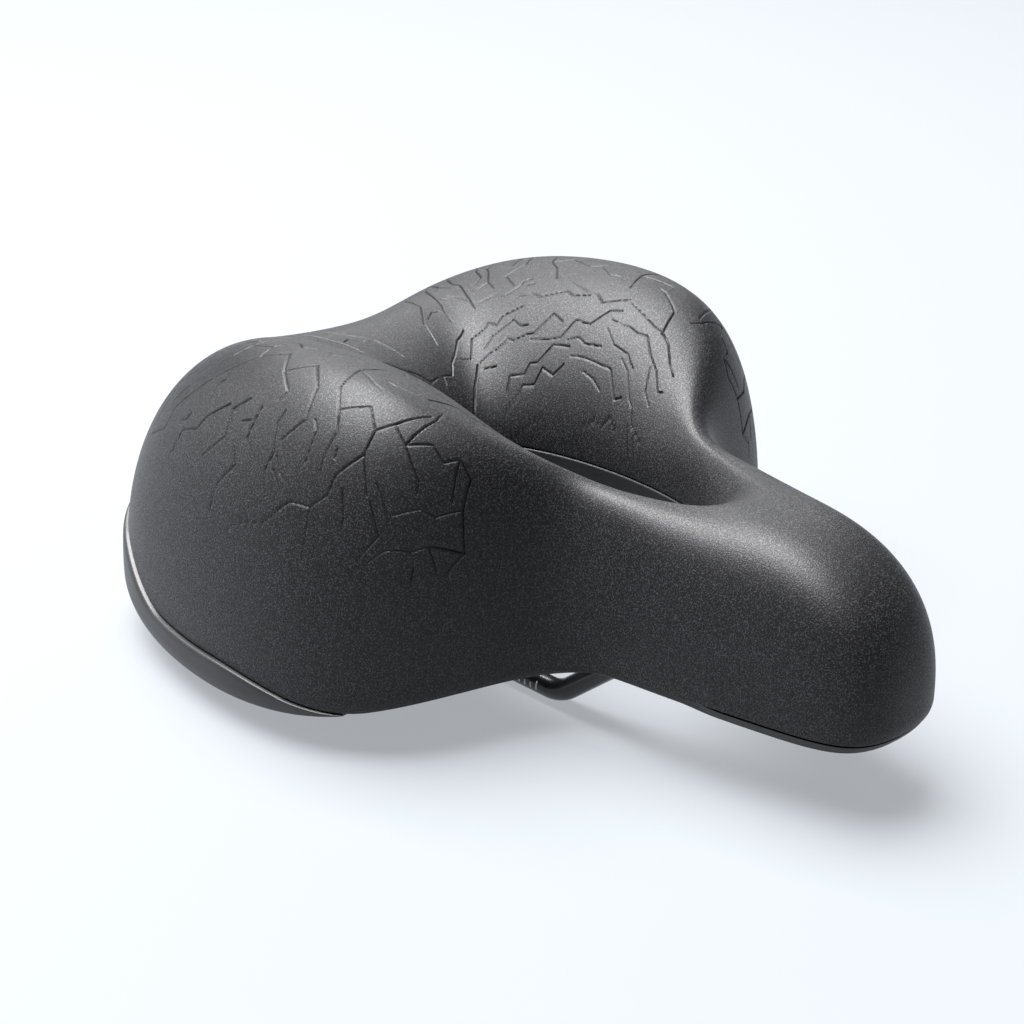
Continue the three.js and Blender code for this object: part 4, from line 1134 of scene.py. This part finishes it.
for side, x in SIDES.items():
    bolt = socket_screw(x, YOKE_Y, BOLT_HEAD_LOW, BOLT_HEAD_R, BOLT_HEAD_H, BOLT_R, BOSS_Z + NUT_H, 2.2)
    steel(f"puck_bolt_{side}", bolt, "seat", f"suspension_bolt_{side}")
    washer = collar_ring(BOLT_R + FIT, WASHER_R, WASHER_TOP - WASHER_H, WASHER_TOP, x, YOKE_Y)
    steel(f"washer_{side}", washer, "seat", f"bolt_washer_{side}")
    rail_x = math.copysign(RAIL_GAUGE / 2, x)
    rail_screw = small_screw(rail_x, YOKE_Y, YOKE_BOTTOM, YOKE_RAIL_Z - RAIL_R - FIT)
    steel(f"rail_screw_{side}", rail_screw, "rails", f"yoke_screw_{side}")
for end, sign in {"front": -1, "rear": 1}.items():
    cap_screw = small_screw(0, NOSE_BAR_Y + sign * CAP_SCREW_AWAY, CAP_BOTTOM, NOSE_BAR_Z + CAP_SCREW_BITE)
    steel(f"cap_screw_{end}", cap_screw, "seat", f"nose_screw_{end}")
for side, du in TAB_STATIONS.items():
    spot, _, top = from_edge(du, SCREW_HEAD_R + 1 - TAB_LENGTH)
    tab_screw = small_screw(*spot, top - TAB_WALL, top + SHELL_WALL)
    steel(f"tab_screw_{side}", tab_screw, "seat", f"bumper_screw_{side}")

# %% [markdown]
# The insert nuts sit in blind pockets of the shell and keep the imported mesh: only their material
# changes.

# %% Nuts
for side in SIDES:
    nut = frame["nodes"][f"insert_nut_{side}"]
    nut.data.materials.clear()
    nut.data.materials.append(zinc)

# %% [markdown]
# ## Stage
# A pale light table, one large soft light overhead, two weak ones behind and a dim world: a matte
# black object is drawn by the size of its lights, and a broad one overhead gives the long soft
# highlight on its upper faces while its flanks stay dark. The table is a grey that glows a little
# by itself, which keeps the shadows pale.

# %% Floor
FLOOR_HALF = 6.0
floor_mesh = bpy.data.meshes.new("floor")
FLOOR_CORNERS = [(x * FLOOR_HALF, y * FLOOR_HALF, 0) for x, y in ((-1, -1), (1, -1), (1, 1), (-1, 1))]
floor_mesh.from_pydata(FLOOR_CORNERS, [], [(0, 1, 2, 3)])
floor = bpy.data.objects.new("floor", floor_mesh)
bpy.context.scene.collection.objects.link(floor)
floor_paint, _, _ = start_material(
    "opal_light_table", Base_Color=linear("525558"), Roughness=0.9, Emission_Color=linear("f0f5fc"),
    Emission_Strength=0.43)
floor_mesh.materials.append(floor_paint)
floor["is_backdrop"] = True


# %% Lights and world
def aimed(made, place, target):
    made.location = place
    made.rotation_euler = (Vector(target) - Vector(place)).to_track_quat("-Z", "Y").to_euler()
    bpy.context.scene.collection.objects.link(made)
    return made


def softbox(name, place, size, power, target=(0, 0, 0.05)):
    """A rectangular area light: the larger it is, the softer its shadow and highlight."""
    lamp = bpy.data.lights.new(name, "AREA")
    lamp.shape, lamp.size, lamp.size_y, lamp.energy = "RECTANGLE", *size, power
    return aimed(bpy.data.objects.new(name, lamp), place, target)


softbox("key", (-0.3, 0.6, 2.1), (2.2, 1.8), 330)
softbox("back", (1.6, 1.6, 1.15), (2.0, 1.1), 22)
softbox("side", (-0.9, 1.9, 0.8), (1.2, 0.9), 16)
world = bpy.data.worlds.new("studio")
bpy.context.scene.world = world
world.use_nodes = True
world.node_tree.nodes["Background"].inputs["Color"].default_value = linear("e9eff7")
world.node_tree.nodes["Background"].inputs["Strength"].default_value = 0.12
bpy.context.scene.view_settings.view_transform = "Standard"

# %% Camera
CAMERA_AZIMUTH, CAMERA_ELEVATION = -44.7, 24.9    # degrees: beyond the nose, on the rider's right
CAMERA_DISTANCE = 0.679
CAMERA_TARGET = Vector((-0.0147, 0.0086 + SHIFT_Y * MM, 0.0533))
azimuth, elevation = math.radians(CAMERA_AZIMUTH), math.radians(CAMERA_ELEVATION)
back = Vector((math.sin(azimuth) * math.cos(elevation), -math.cos(azimuth) * math.cos(elevation),
               math.sin(elevation)))
camera_data = bpy.data.cameras.new("camera")
camera_data.lens, camera_data.sensor_width = 76.4, 36
camera = aimed(bpy.data.objects.new("camera", camera_data), CAMERA_TARGET + back * CAMERA_DISTANCE,
               CAMERA_TARGET)
bpy.context.scene.camera = camera
print("camera at", [round(v, 3) for v in camera.location])

# %% Finish
size = {"cad": [list(corner) for corner in cad_box], "visual": [list(corner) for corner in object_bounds()]}
grown = [[round((b - a) / MM, 2) for a, b in zip(size["cad"][k], size["visual"][k])] for k in (0, 1)]
print("grown by, mm", grown)
